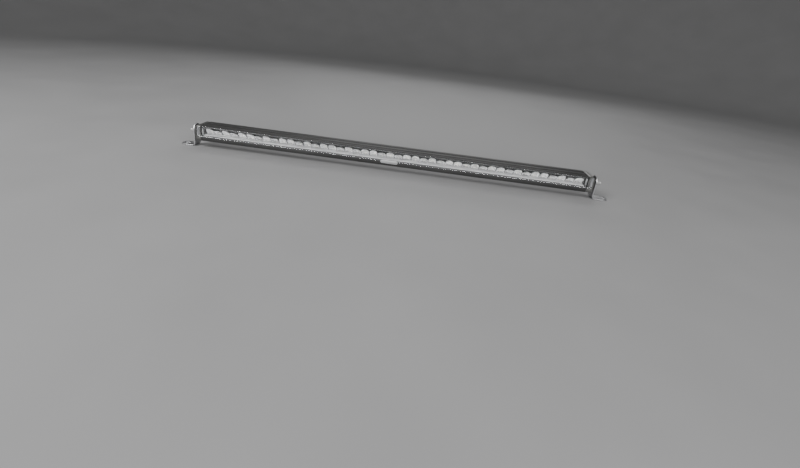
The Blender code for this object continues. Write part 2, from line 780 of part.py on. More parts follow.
clamp_nut = add(
    "cable_gland_nut",
    cone_mesh("cable_gland_nut", 8.0 * HEX, 6.0, 6),
    BLACK_PLASTIC,
    at(GLAND_X, 57.8, GLAND_Z),
    AXIS_BACK,
)
dome = turned(
    "nut_dome",
    [(0, 5.4), (5.2, 5.4), (6.6, 4.4), (7.4, 2.6), (7.6, 0), (7.6, -3), (0, -3)],
    16,
    BLACK_PLASTIC,
    at(GLAND_X, 60.6, GLAND_Z),
    AXIS_BACK,
)
PARTS.objects.unlink(dome)
HELPERS.objects.link(dome)
dome.hide_render = True
dome.display_type = "WIRE"
combine(clamp_nut, dome, "UNION")
combine(
    clamp_nut,
    helper("nut_thread_bore", cone_mesh("nut_thread_bore", 6.35, 8.6, 16), at(GLAND_X, 56.3, GLAND_Z), AXIS_BACK),
)
combine(
    clamp_nut, helper("nut_mouth", cone_mesh("nut_mouth", 4.0, 30, 16), at(GLAND_X, 62, GLAND_Z), AXIS_BACK)
)
turned(
    "cable_gland_seal",
    [(4.25, 9.0), (4.25, -1.0), (3.25, -1.0), (3.25, 9.0)],
    16,
    BLACK_RUBBER,
    at(GLAND_X, 50.3, GLAND_Z),
    AXIS_BACK,
    ring=True,
)
turned(
    "vent_plug",
    [(0, 5.0), (5.2, 5.0), (6.5, 4.0), (6.5, 0.4), (3.0, 0.4), (3.0, -3.0), (0, -3.0)],
    16,
    BLACK_PLASTIC,
    at(VENT_X, 50.0, GLAND_Z),
    AXIS_BACK,
)

# ------------------------------------------------------------------------ badge
badge = extruded(
    "badge_plate",
    [round_box((-28.0, 6.4 + FOOT_DROP), (28.0, 19.2 + FOOT_DROP), 6.2, 6)],
    0.8,
    ALONG_Y,
    (0, (-0.7 - Y_MIDDLE) * MM, 0),
    BADGE_SILVER,
)

# ---------------------------------------------------------- brackets and pivots
def bracket(side, word):
    """A leg up the end of the bar and a foot turned outwards, bent from one plate."""
    pivot = at(side * (BRACKET_IN + PLATE / 2), *PIVOT)
    inner, outer = BEND_IN, BEND_IN + PLATE
    cx, cz = BRACKET_IN + outer, -FOOT_DROP + outer
    section = (
        [(BRACKET_IN, LEG_TOP + 0.6), (BRACKET_IN, cz)]
        + arc((cx, cz), outer, 180, 270, 5)[1:]
        + [(FOOT_END + 0.6, -FOOT_DROP), (FOOT_END + 0.6, -FOOT_DROP + PLATE)]
        + arc((cx, cz), inner, 270, 180, 5)
        + [(BRACKET_IN + PLATE, LEG_TOP + 0.6)]
    )
    loop = [(side * (u - BRACKET_IN - PLATE / 2), v - PIVOT[1]) for u, v in section]
    plate = extruded(f"bracket_{word}", [loop], BRACKET_WIDE, ALONG_Y, pivot, BRACKET_STEEL)

    yp = PIVOT[0]
    r = BRACKET_WIDE / 2
    zc = LEG_TOP - r
    top = (
        [(yp - r - 4, LEG_TOP + 6), (yp - r - 4, zc), (yp - r, zc)]
        + arc((yp, zc), r, 180, 0, 12)[1:-1]
        + [(yp + r, zc), (yp + r + 4, zc), (yp + r + 4, LEG_TOP + 6)]
    )
    combine(
        plate,
        helper(
            f"{word}_leg_round",
            outline_mesh(f"{word}_leg_round", [[(u - Y_MIDDLE, v + FOOT_DROP) for u, v in top]], 12),
            (side * (BRACKET_IN + PLATE / 2) * MM, 0, 0),
            ALONG_X,
        ),
    )
    xc = FOOT_END - r
    end = (
        [(side * (FOOT_END + 6), yp - r - 4), (side * xc, yp - r - 4), (side * xc, yp - r)]
        + [(side * u, v) for u, v in arc((xc, yp), r, -90, 90, 12)[1:-1]]
        + [(side * xc, yp + r), (side * xc, yp + r + 4), (side * (FOOT_END + 6), yp + r + 4)]
    )
    combine(
        plate,
        helper(
            f"{word}_foot_round",
            outline_mesh(f"{word}_foot_round", [[(u, v - Y_MIDDLE) for u, v in end]], 12),
            (0, 0, (PLATE / 2) * MM),
            ALONG_Z,
        ),
    )
    half = SLOT_LONG / 2 - SLOT_WIDE / 2
    slot = arc((side * SLOT_MIDDLE + half, yp), SLOT_WIDE / 2, -90, 90, 6) + arc(
        (side * SLOT_MIDDLE - half, yp), SLOT_WIDE / 2, 90, 270, 6
    )
    combine(
        plate,
        helper(
            f"{word}_slot",
            outline_mesh(f"{word}_slot", [[(u, v - Y_MIDDLE) for u, v in slot]], 12),
            (0, 0, (PLATE / 2) * MM),
            ALONG_Z,
        ),
    )
    combine(
        plate,
        helper(
            f"{word}_leg_hole",
            cone_mesh(f"{word}_leg_hole", 4.35, 12, 20),
            pivot,
            AXIS_RIGHT,
        ),
    )
    return plate


for side, word in ((-1, "left"), (1, "right")):
    bracket(side, word)
    turn = AXIS_RIGHT if side > 0 else AXIS_LEFT

    def along(x):
        return at(side * x, *PIVOT)

    # captive bolt: its head sits inside the end cap and its shank points outwards
    turned(
        f"pivot_bolt_{word}",
        [(0, 652.0 - 616.7), (3.2, 652.0 - 616.7), (4.0, 651.2 - 616.7), (4.0, 0), (6.5, 0), (6.5, -3.2), (0, -3.2)],
        20,
        STEEL,
        along(616.7),
        turn,
    )
    turned(f"pivot_pad_{word}", washer_profile(4.5, 12.0, 2.6), 24, BLACK_RUBBER, along(629.35), turn, ring=True)
    turned(f"flat_washer_{word}", washer_profile(4.35, 8.5, 1.6), 24, STEEL, along(635.1), turn, ring=True)
    spring = turned(
        f"spring_washer_{word}", washer_profile(4.35, 7.2, 2.1), 20, STEEL, along(637.25), turn, ring=True
    )
    split = helper(
        f"{word}_washer_split",
        box_mesh(f"{word}_washer_split", (8.0, 0.9, 6.0)),
        along(637.25) + Vector((0, 0, 6.2)) * MM,
        (0.0, 0.0, 0.5),
    )
    combine(spring, split)
    nut = add(
        f"pivot_nut_{word}",
        cone_mesh(f"pivot_nut_{word}", 6.5 * HEX, 6.5, 6),
        STEEL,
        along(641.9),
        turn,
    )
    crown = turned(
        f"{word}_nut_crown",
        [(0, 3.4), (6.0, 3.4), (7.7, 2.4), (7.7, -2.4), (6.0, -3.4), (0, -3.4)],
        24,
        STEEL,
        along(641.9),
        turn,
    )
    PARTS.objects.unlink(crown)
    HELPERS.objects.link(crown)
    crown.hide_render = True
    crown.display_type = "WIRE"
    combine(nut, crown, "INTERSECT")
    combine(
        nut,
        helper(f"{word}_nut_bore", cone_mesh(f"{word}_nut_bore", 4.35, 12, 20), along(641.9), turn),
    )

    for k, (yp, zp) in enumerate(SCREWS):
        screw = turned(
            f"end_cap_screw_{word}_{k + 1}",
            [(0, 2.4), (2.7, 2.4), (3.2, 1.8), (3.2, 0), (1.45, 0), (1.45, -27.0), (0.7, -29.5), (0, -29.5)],
            10,
            STEEL,
            at(side * 620.7, yp, zp),
            turn,
        )
        combine(
            screw,
            helper(
                f"{word}_socket_{k}",
                cone_mesh(f"{word}_socket_{k}", 1.45, 2.6, 6),
                at(side * 623.1, yp, zp),
                turn,
            ),
        )
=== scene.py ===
"""Looks of the slim LED light bar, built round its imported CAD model.

Lengths in the shape code are millimetres in (x, yp, zp): x along the bar, yp the depth
behind the front bezel, zp the height above the underside of the housing. at() turns
them into the frame's metres.
"""

import math

import bmesh
import bpy
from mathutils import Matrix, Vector


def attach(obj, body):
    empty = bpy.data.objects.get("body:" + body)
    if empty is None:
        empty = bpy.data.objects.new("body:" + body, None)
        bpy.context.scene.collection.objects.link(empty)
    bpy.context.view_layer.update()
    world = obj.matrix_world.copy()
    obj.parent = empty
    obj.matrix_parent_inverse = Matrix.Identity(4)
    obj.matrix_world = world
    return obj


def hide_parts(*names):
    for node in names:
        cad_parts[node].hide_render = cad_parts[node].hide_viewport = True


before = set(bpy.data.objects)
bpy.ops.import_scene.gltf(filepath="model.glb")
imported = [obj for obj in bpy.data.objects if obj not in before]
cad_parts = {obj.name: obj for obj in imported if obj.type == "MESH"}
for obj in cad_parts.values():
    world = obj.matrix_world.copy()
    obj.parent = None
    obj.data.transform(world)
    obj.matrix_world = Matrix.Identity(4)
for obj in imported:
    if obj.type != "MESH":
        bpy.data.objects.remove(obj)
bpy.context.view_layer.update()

MM = 0.001
Y_MIDDLE, FOOT_DROP = 32.45, 23.0
BODY, LEFT, RIGHT = "light_body", "left_bracket", "right_bracket"
PIVOT = (25.0, 27.0)
HEX = 2 / math.sqrt(3)

CAP_FACE, CAP_THICK = 625.0, 20.1
LENS_LOW, LENS_HIGH, LENS_HALF, LENS_ROUND = 13.0, 47.0, 619.7, 7.0
LENS_FRONT, LENS_BACK, RECESS = 0.2, 2.5, 3.9
MODULES, CELLS = 9, 5
PITCH = 1194.0 / MODULES
WIDTH = PITCH - 0.4
CELL = WIDTH / CELLS
FLOOR, TALL, LOW = 19.5, 21.5, 17.0
BOWL_BACK, BOWL_A = 40.0, 12.5
BOWL_B = {"tall": TALL**2 / (BOWL_BACK - 3.5), "low": 8.3}
LED_DEPTH = BOWL_BACK - BOWL_B["tall"] / 4
SCREWS = ((10.0, 7.5), (42.5, 7.5), (17.0, 43.0), (42.5, 42.5))
GLAND_X, GLAND_Z, VENT_X = 520.0, 25.0, -520.0
FIN_PITCH = 48.0 / 7


def at(x, yp, zp):
    return Vector((x, yp - Y_MIDDLE, zp + FOOT_DROP)) * MM


# ------------------------------------------------------------------ materials
class Nodes:
    """A short way to write a material's node tree."""

    def __init__(self, name):
        self.material = bpy.data.materials.new(name)
        self.material.use_nodes = True
        self.tree = self.material.node_tree
        self.shader = self.tree.nodes["Principled BSDF"]
        self.output = self.tree.nodes["Material Output"]
        self.place = self.tree.nodes.new("ShaderNodeTexCoord").outputs["Object"]

    def new(self, kind, **values):
        node = self.tree.nodes.new(kind)
        for key, value in values.items():
            setattr(node, key, value)
        return node

    def link(self, source, target):
        self.tree.links.new(source, target)
        return target

    def set(self, **values):
        for key, value in values.items():
            self.shader.inputs[key.replace("_", " ")].default_value = value
        return self

    def mapped(self, scale=(1, 1, 1), rotation=(0, 0, 0)):
        node = self.new("ShaderNodeMapping")
        node.inputs["Scale"].default_value = scale
        node.inputs["Rotation"].default_value = rotation
        self.link(self.place, node.inputs["Vector"])
        return node.outputs["Vector"]

    def noise(self, scale, detail=3.0, roughness=0.55, vector=None):
        node = self.new("ShaderNodeTexNoise")
        node.inputs["Scale"].default_value = scale
        node.inputs["Detail"].default_value = detail
        node.inputs["Roughness"].default_value = roughness
        self.link(vector or self.place, node.inputs["Vector"])
        return node.outputs["Fac"]

    def cells(self, scale, feature="F1", vector=None):
        node = self.new("ShaderNodeTexVoronoi", feature=feature)
        node.inputs["Scale"].default_value = scale
        self.link(vector or self.place, node.inputs["Vector"])
        return node.outputs["Distance"]

    def spread(self, source, low, high, start=0.3, end=0.7):
        node = self.new("ShaderNodeMapRange", clamp=True)
        node.inputs["From Min"].default_value = start
        node.inputs["From Max"].default_value = end
        node.inputs["To Min"].default_value = low
        node.inputs["To Max"].default_value = high
        self.link(source, node.inputs["Value"])
        return node.outputs["Result"]

    def blend(self, factor, first, second):
        node = self.new("ShaderNodeMix", data_type="RGBA")
        for socket, colour in ((node.inputs[6], first), (node.inputs[7], second)):
            if isinstance(colour, tuple):
                socket.default_value = (*colour, 1.0)
            else:
                self.link(colour, socket)
        self.link(factor, node.inputs[0])
        return node.outputs[2]

    def maths(self, operation, first, second):
        node = self.new("ShaderNodeMath", operation=operation)
        for socket, value in zip(node.inputs, (first, second)):
            if isinstance(value, (int, float)):
                socket.default_value = value
            else:
                self.link(value, socket)
        return node.outputs[0]

    def bump(self, height, strength, distance, under=None):
        node = self.new("ShaderNodeBump")
        node.inputs["Strength"].default_value = strength
        node.inputs["Distance"].default_value = distance
        self.link(height, node.inputs["Height"])
        if under is not None:
            self.link(under, node.inputs["Normal"])
        return node.outputs["Normal"]

    def edges(self, radius=0.0007, start=0.80, samples=6):
        """1 along sharp edges: there a rounded normal leans well off the true one."""
        bevel = self.new("ShaderNodeBevel", samples=samples)
        bevel.inputs["Radius"].default_value = radius
        lean = self.new("ShaderNodeVectorMath", operation="DOT_PRODUCT")
        self.link(bevel.outputs["Normal"], lean.inputs[0])
        self.link(self.new("ShaderNodeNewGeometry").outputs["Normal"], lean.inputs[1])
        return self.spread(lean.outputs["Value"], 1.0, 0.0, start, 0.985)

    def paint(self, colour=None, roughness=None, normal=None, metallic=None):
        for name, source in (("Base Color", colour), ("Roughness", roughness), ("Normal", normal), ("Metallic", metallic)):
            if source is not None:
                self.link(source, self.shader.inputs[name])
        return self.material


def coat(name, dark, light, rough, specular=0.5, grain=1500.0, strength=0.25, metallic=0.0, worn=None):
    """Powder coat or moulded skin: fine orange peel, soft cloudiness, a few dust specks, and sharp edges painted paler,
    partly as rubbed wear and partly as a painted edge highlight.
    """
    n = Nodes(name).set(Specular_IOR_Level=specular, Metallic=metallic)
    cloud = n.noise(9.0, 4.0)
    fine = n.noise(grain, 3.0)
    speck = n.spread(n.noise(700.0, 2.0, 0.7), 0.0, 1.0, 0.66, 0.74)
    base = n.blend(n.spread(cloud, 0.0, 1.0), dark, light)
    dust = tuple(min(1.0, c * 1.9 + 0.012) for c in light)
    colour = n.blend(n.maths("MULTIPLY", speck, 0.5), base, dust)
    roughness = n.maths("ADD", n.spread(cloud, rough - 0.04, rough + 0.05), n.maths("MULTIPLY", fine, 0.05))
    # sharp edges painted paler in patches: rubbed wear, and also a painted highlight along the edges
    if worn:
        patchy = n.spread(n.noise(160.0, 5.0, 0.65), 0.25, 1.0, 0.35, 0.62)
        rubbed = n.maths("MULTIPLY", n.edges(), patchy)
        colour = n.blend(rubbed, colour, worn)
        roughness = n.maths("SUBTRACT", roughness, n.maths("MULTIPLY", rubbed, 0.12))
    normal = n.bump(fine, strength, 0.00006)
    return n.paint(colour, roughness, normal)


def brushed(name, dark, light, rough, along=(1.0, 60.0, 60.0), strength=0.2, anisotropic=0.4, metallic=1.0, worn=None):
    """Metal with fine lines along one direction, a faint stain here and there and edges polished by handling."""
    n = Nodes(name).set(Metallic=metallic, Anisotropic=anisotropic)
    lines = n.noise(60.0, 6.0, 0.7, n.mapped(along))
    stain = n.noise(22.0, 4.0)
    colour = n.blend(n.spread(lines, 0.0, 1.0), dark, light)
    colour = n.blend(n.spread(stain, 0.0, 0.25, 0.5, 0.8), colour, dark)
    roughness = n.maths("ADD", n.spread(lines, rough - 0.05, rough + 0.07), n.spread(stain, 0.0, 0.06))
    if worn:
        patchy = n.spread(n.noise(220.0, 4.0, 0.65), 0.4, 1.0, 0.35, 0.6)
        rubbed = n.maths("MULTIPLY", n.edges(0.0005), patchy)
        colour = n.blend(rubbed, colour, worn)
        roughness = n.maths("SUBTRACT", roughness, n.maths("MULTIPLY", rubbed, 0.08))
    return n.paint(colour, roughness, n.bump(lines, strength, 0.00004))


def rubber(name, dark, light, rough=0.75):
    n = Nodes(name).set(Specular_IOR_Level=0.3)
    grain = n.noise(2400.0, 3.0)
    bloom = n.noise(60.0, 4.0)
    colour = n.blend(n.spread(bloom, 0.0, 1.0), dark, light)
    return n.paint(colour, n.spread(bloom, rough - 0.08, rough + 0.1), n.bump(grain, 0.3, 0.00008))


# the worn colours paint the sharp edges paler: rubbed wear that also serves as a painted edge highlight
HOUSING_COAT = coat("housing_powder_coat", (0.016, 0.016, 0.016), (0.023, 0.023, 0.0226), 0.42, 0.16, worn=(0.13, 0.13, 0.128))
CAP_COAT = coat("cap_coat", (0.028, 0.028, 0.027), (0.040, 0.040, 0.038), 0.30, 0.42, 1100.0, 0.3, worn=(0.24, 0.24, 0.235))
BLACK_NYLON = coat("black_nylon", (0.018, 0.018, 0.019), (0.028, 0.028, 0.029), 0.48, 0.45, 1900.0, 0.35, worn=(0.06, 0.06, 0.06))
TRIM = brushed("satin_trim", (0.075, 0.075, 0.075), (0.12, 0.12, 0.12), 0.50, (1.0, 50.0, 50.0), 0.1, 0.2, 0.35)
SPREADER = brushed("spreader_anodised", (0.045, 0.045, 0.046), (0.075, 0.075, 0.076), 0.48, (1.0, 50.0, 50.0), 0.1, 0.3, 0.3)
LOWER_TRIM = brushed("lower_trim_satin", (0.026, 0.026, 0.026), (0.042, 0.042, 0.042), 0.56, (1.0, 50.0, 50.0), 0.1, 0.2, 0.1)
BRACKET = brushed("bracket_steel", (0.36, 0.36, 0.37), (0.50, 0.50, 0.51), 0.30, (60.0, 4.0, 60.0), 0.16, 0.3, worn=(0.74, 0.74, 0.74))
STEEL = brushed("stainless_fasteners", (0.42, 0.42, 0.41), (0.56, 0.56, 0.55), 0.26, (40.0, 40.0, 40.0), 0.08, 0.0, worn=(0.75, 0.75, 0.74))
BLACK_STEEL = brushed("black_oxide_screws", (0.028, 0.028, 0.03), (0.05, 0.05, 0.052), 0.36, (40.0, 40.0, 40.0), 0.1, 0.0, 0.8, worn=(0.25, 0.25, 0.25))
ALUMINIUM = brushed("mill_finish_aluminium", (0.55, 0.55, 0.56), (0.70, 0.70, 0.71), 0.32, (1.0, 70.0, 70.0), 0.15, 0.4)
GASKET = rubber("silicone_gasket", (0.05, 0.05, 0.052), (0.075, 0.075, 0.078), 0.6)
PAD_RUBBER = rubber("pad_rubber", (0.02, 0.02, 0.02), (0.032, 0.032, 0.031))
WIRE_RED = rubber("red_insulation", (0.42, 0.012, 0.012), (0.55, 0.03, 0.025), 0.5)
WIRE_BLACK = rubber("black_insulation", (0.014, 0.014, 0.014), (0.024, 0.024, 0.024), 0.5)


def lens_material():
    """Clear polycarbonate. Lamps' light passes straight through it, so the reflectors are lit."""
    n = Nodes("clear_polycarbonate").set(IOR=1.43, Transmission_Weight=1.0)
    flow = n.noise(7.0, 2.0)
    wipe = n.noise(14.0, 5.0, 0.6, n.mapped((1.0, 6.0, 6.0)))
    colour = n.blend(n.spread(flow, 0.0, 1.0), (0.965, 0.972, 0.975), (0.985, 0.99, 0.99))
    n.paint(colour, n.spread(wipe, 0.015, 0.045), n.bump(flow, 0.06, 0.0004))
    clear = n.new("ShaderNodeBsdfTransparent")
    clear.inputs["Color"].default_value = (0.97, 0.975, 0.98, 1.0)
    path = n.new("ShaderNodeLightPath")
    mix = n.new("ShaderNodeMixShader")
    n.link(path.outputs["Is Shadow Ray"], mix.inputs[0])
    n.link(n.shader.outputs[0], mix.inputs[1])
    n.link(clear.outputs[0], mix.inputs[2])
    n.link(mix.outputs[0], n.output.inputs["Surface"])
    return n.material


def reflector_material():
    """Vacuum-metallised moulding: bright, faintly rippled, with painted shade low in the scoops and in the notches
    between cells, a painted highlight on the scoop rims, and a dark grey, rougher, less metallic floor plate.
    """
    n = Nodes("reflector_coating")
    ripple = n.noise(120.0, 2.0)
    haze = n.noise(35.0, 4.0)
    lift = n.new("ShaderNodeAttribute", attribute_name="lift").outputs["Fac"]
    side = n.new("ShaderNodeAttribute", attribute_name="side").outputs["Fac"]
    colour = n.blend(n.spread(haze, 0.0, 1.0), (0.89, 0.89, 0.895), (0.95, 0.95, 0.95))
    # painted shade: the scoops are darkened towards grey low down, near the floor
    colour = n.blend(n.spread(lift, 0.0, 0.6, 0.40, 0.12), colour, (0.50, 0.50, 0.505))
    # painted highlight: the scoop rims are whitened
    colour = n.blend(n.spread(lift, 0.0, 1.0, 0.86, 0.97), colour, (0.99, 0.99, 0.99))
    # painted shade: the notches where neighbouring cells meet are painted near black
    colour = n.blend(n.spread(side, 0.0, 0.95, 0.84, 0.97), colour, (0.10, 0.10, 0.102))
    # the floor plate in front of the scoops is coloured dark grey
    colour = n.blend(n.spread(lift, 0.90, 0.0, 0.0, 0.02), colour, (0.22, 0.22, 0.22))
    roughness = n.maths("ADD", n.spread(haze, 0.24, 0.30), n.spread(lift, 0.25, 0.0, 0.0, 0.06))
    return n.paint(colour, roughness, n.bump(ripple, 0.1, 0.0003), n.spread(lift, 0.0, 0.5, 0.0, 0.06))


def board_material():
    """White solder mask with faint copper runs under it."""
    n = Nodes("white_solder_mask").set(Specular_IOR_Level=0.5)
    wave = n.new("ShaderNodeTexBrick")
    wave.inputs["Scale"].default_value = 90.0
    wave.inputs["Color1"].default_value = (0.80, 0.80, 0.77, 1.0)
    wave.inputs["Color2"].default_value = (0.77, 0.775, 0.745, 1.0)
    wave.inputs["Mortar"].default_value = (0.70, 0.70, 0.66, 1.0)
    wave.inputs["Mortar Size"].default_value = 0.03
    n.link(n.place, wave.inputs["Vector"])
    fine = n.noise(1800.0, 2.0)
    return n.paint(wave.outputs["Color"], n.spread(fine, 0.3, 0.42), n.bump(wave.outputs["Fac"], 0.2, 0.00003))


def phosphor_material():
    n = Nodes("led_phosphor").set(Subsurface_Weight=0.0, Specular_IOR_Level=0.6)
    grain = n.noise(2600.0, 3.0)
    colour = n.blend(n.spread(grain, 0.0, 1.0), (0.80, 0.72, 0.42), (0.88, 0.82, 0.56))
    return n.paint(colour, n.spread(grain, 0.25, 0.4), n.bump(grain, 0.3, 0.00004))


def laminate_material():
    """Green driver laminate with a printed-circuit pattern."""
    n = Nodes("driver_laminate").set(Specular_IOR_Level=0.5)
    brick = n.new("ShaderNodeTexBrick")
    brick.inputs["Scale"].default_value = 220.0
    brick.inputs["Color1"].default_value = (0.010, 0.120, 0.045, 1.0)
    brick.inputs["Color2"].default_value = (0.014, 0.160, 0.060, 1.0)
    brick.inputs["Mortar"].default_value = (0.030, 0.230, 0.090, 1.0)
    brick.inputs["Mortar Size"].default_value = 0.05
    n.link(n.place, brick.inputs["Vector"])
    return n.paint(brick.outputs["Color"], n.spread(n.noise(300.0), 0.3, 0.45), n.bump(brick.outputs["Fac"], 0.3, 0.00004))


def speckled(name, dark, light, rough, scale=1600.0):
    n = Nodes(name)
    grain = n.noise(scale, 4.0, 0.7)
    colour = n.blend(n.spread(grain, 0.0, 1.0), dark, light)
    return n.paint(colour, n.spread(grain, rough - 0.06, rough + 0.08), n.bump(grain, 0.25, 0.00006))


LENS = lens_material()
REFLECTOR = reflector_material()
BOARD = board_material()
PHOSPHOR = phosphor_material()
LAMINATE = laminate_material()
LED_CERAMIC = speckled("led_ceramic", (0.74, 0.73, 0.70), (0.84, 0.83, 0.80), 0.4)
FERRITE = speckled("ferrite", (0.035, 0.035, 0.038), (0.07, 0.07, 0.075), 0.6)
CHIP = speckled("moulded_chip", (0.012, 0.012, 0.012), (0.028, 0.028, 0.028), 0.45)
CONNECTOR = speckled("connector_nylon", (0.72, 0.71, 0.66), (0.82, 0.81, 0.77), 0.45)
CAN = brushed("capacitor_sleeve", (0.10, 0.11, 0.15), (0.15, 0.16, 0.21), 0.35, (60.0, 60.0, 3.0), 0.1, 0.0, 0.4)
MEMBRANE = speckled("vent_membrane", (0.50, 0.50, 0.49), (0.62, 0.62, 0.60), 0.7, 3200.0)
BADGE = brushed("badge_satin", (0.34, 0.343, 0.348), (0.44, 0.443, 0.448), 0.42, (1.0, 90.0, 90.0), 0.12, 0.3, 0.9)
BADGE_RIM = coat("badge_rim", (0.012, 0.012, 0.013), (0.02, 0.02, 0.021), 0.35, 0.5)


# ---------------------------------------------------------------- shape helpers
def arc(centre, radius, start, end, steps):
    return [
        (
            centre[0] + radius * math.cos(math.radians(start + (end - start) * i / steps)),
            centre[1] + radius * math.sin(math.radians(start + (end - start) * i / steps)),
        )
        for i in range(steps + 1)
    ]


def round_box(low, high, r, steps=10):
    (x0, y0), (x1, y1) = low, high
    return (
        arc((x1 - r, y0 + r), r, -90, 0, steps)
        + arc((x1 - r, y1 - r), r, 0, 90, steps)
        + arc((x0 + r, y1 - r), r, 90, 180, steps)
        + arc((x0 + r, y0 + r), r, 180, 270, steps)
    )


def placed(axis, u, v, w):
    """(x, yp, zp) of outline point (u, v) at depth w along an axis."""
    return {"x": (w, u, v), "y": (u, w, v), "z": (u, v, w)}[axis]


def prism(work, axis, loop, low, high):
    """A closed outline given a thickness from low to high along an axis."""
    rings = [[work.verts.new(placed(axis, u, v, w)) for u, v in loop] for w in (low, high)]
    faces = [work.faces.new(rings[0]), work.faces.new(rings[1])]
    for i in range(len(loop)):
        j = (i + 1) % len(loop)
        faces.append(work.faces.new((rings[0][i], rings[0][j], rings[1][j], rings[1][i])))
    return faces


def lathe(work, profile, centre, direction, steps=48, ring=False, twist=0.0):
    """A turned shape. Profile points are (radius, height) along direction, which is +-x, +-y or +-z."""
    sign = -1.0 if direction[0] == "-" else 1.0
    axis = direction[-1]
    rows = []
    for r, h in profile:
        if r < 1e-6:
            rows.append([work.verts.new(_turned(axis, sign, centre, 0.0, 0.0, h))])
            continue
        rows.append(
            [work.verts.new(_turned(axis, sign, centre, r, 2 * math.pi * k / steps + twist, h)) for k in range(steps)]
        )
    pairs = list(zip(rows, rows[1:]))
    if ring:
        pairs.append((rows[-1], rows[0]))
    for a, b in pairs:
        for k in range(steps):
            j = (k + 1) % steps
            corners = []
            for vert in (a[k % len(a)], a[j % len(a)], b[j % len(b)], b[k % len(b)]):
                if vert not in corners:
                    corners.append(vert)
            if len(corners) > 2:
                work.faces.new(corners)
    return rows


def _turned(axis, sign, centre, r, angle, h):
    c, s = r * math.cos(angle), r * math.sin(angle)
    x, y, z = centre
    if axis == "x":
        return (x + sign * h, y + c, z + s)
    if axis == "y":
        return (x + c, y + sign * h, z + s)
    return (x + c, y + s, z + sign * h)


def hexagon(radius, twist=0.0):
    return [(radius * math.cos(math.radians(60 * k + twist)), radius * math.sin(math.radians(60 * k + twist))) for k in range(6)]


def shifted(loop, u, v):
    return [(a + u, b + v) for a, b in loop]


def solid(build, *args, **keys):
    """A mesh in (x, yp, zp) millimetres, made by a builder that fills a bmesh."""
    work = bmesh.new()
    build(work, *args, **keys)
    bmesh.ops.remove_doubles(work, verts=work.verts, dist=1e-4)
    bmesh.ops.recalc_face_normals(work, faces=work.faces)
    mesh = bpy.data.meshes.new("part")
    work.to_mesh(mesh)
    work.free()
    return mesh


def evaluated(obj):
    graph = bpy.context.evaluated_depsgraph_get()
    mesh = bpy.data.meshes.new_from_object(obj.evaluated_get(graph))
    bpy.data.objects.remove(obj, do_unlink=True)
    return mesh


def temporary(mesh):
    obj = bpy.data.objects.new("temporary", mesh)
    bpy.context.scene.collection.objects.link(obj)
    return obj


def carve(mesh, steps):
    """Boolean steps on a mesh: each is (operation, mesh)."""
    obj = temporary(mesh)
    others = []
    for operation, other in steps:
        tool = temporary(other)
        others.append(tool)
        step = obj.modifiers.new("step", "BOOLEAN")
        step.operation = operation
        step.solver = "EXACT"
        step.object = tool
    bpy.context.view_layer.update()
    made = evaluated(obj)
    for tool in others:
        bpy.data.objects.remove(tool, do_unlink=True)
    return made


def softened(mesh, width, segments=2, angle=32.0):
    """Rounds the sharp edges, in whatever unit the mesh has."""
    if width <= 0:
        return mesh
    obj = temporary(mesh)
    step = obj.modifiers.new("soft", "BEVEL")
    step.width = width
    step.segments = segments
    step.limit_method = "ANGLE"
    step.angle_limit = math.radians(angle)
    step.miter_outer = "MITER_ARC"
    bpy.context.view_layer.update()
    return evaluated(obj)


def cleaned(mesh, dissolve=0.3):
    work = bmesh.new()
    work.from_mesh(mesh)
    bmesh.ops.remove_doubles(work, verts=work.verts, dist=1e-3)
    bmesh.ops.dissolve_limit(work, angle_limit=math.radians(dissolve), verts=work.verts, edges=work.edges)
    work.to_mesh(mesh)
    work.free()
    return mesh


def piece(name, mesh, paints, body, nodes=(), in_mm=True, sharp=38.0):
    """An object of the visual model, riding on its body."""
    if in_mm:
        for vert in mesh.vertices:
            vert.co = at(*vert.co)
    mesh.name = name
    mesh.shade_smooth()
    mesh.set_sharp_from_angle(angle=math.radians(sharp))
    paints = paints if isinstance(paints, (list, tuple)) else [paints]
    if not mesh.materials:
        for paint in paints:
            mesh.materials.append(paint)
    obj = bpy.data.objects.new(name, mesh)
    bpy.context.scene.collection.objects.link(obj)
    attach(obj, body)
    if nodes:
        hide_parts(*([nodes] if isinstance(nodes, str) else nodes))
    return obj


def from_node(node, name, paint, width, body=BODY, segments=2, angle=32.0):
    """A piece with the CAD node's own shape, welded, with its edges rounded."""
    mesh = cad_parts[node].data.copy()
    mesh.materials.clear()
    work = bmesh.new()
    work.from_mesh(mesh)
    bmesh.ops.scale(work, vec=(1000, 1000, 1000), verts=work.verts)
    bmesh.ops.remove_doubles(work, verts=work.verts, dist=2e-3)
    bmesh.ops.dissolve_limit(work, angle_limit=math.radians(0.4), verts=work.verts, edges=work.edges)
    bmesh.ops.recalc_face_normals(work, faces=work.faces)
    clean = bpy.data.meshes.new(name)
    work.to_mesh(clean)
    work.free()
    clean = softened(clean, width, segments, angle)
    for vert in clean.vertices:
        vert.co *= MM
    return piece(name, clean, paint, body, node, in_mm=False)


# -------------------------------------------------------------------- housing
from_node("housing", "housing_extrusion", HOUSING_COAT, 0.35, segments=2, angle=28.0)


# ------------------------------------------------------------------- end caps
def cap_outline(soft=0.0, top=0.0, bottom=0.0, steps=10):
    low, high, deep = bottom, 50.0 - top, 56.5
    r, front = 3.5 - soft, 4.5 - soft
    return (
        arc((3.4, low + r - 0.1), r - 0.1, 180, 270, steps)
        + arc((deep, low + r), r, 270, 360, steps)
        + arc((deep, high - r), r, 0, 90, steps)
        + arc((4.5, high - front), front, 90, 180, steps)
    )


def cap_rounding(short, radius):
    """How far a surface of this corner radius lies in, this short of the cap's outer face."""
    return radius - math.sqrt(radius**2 - max(0.0, radius - short) ** 2)


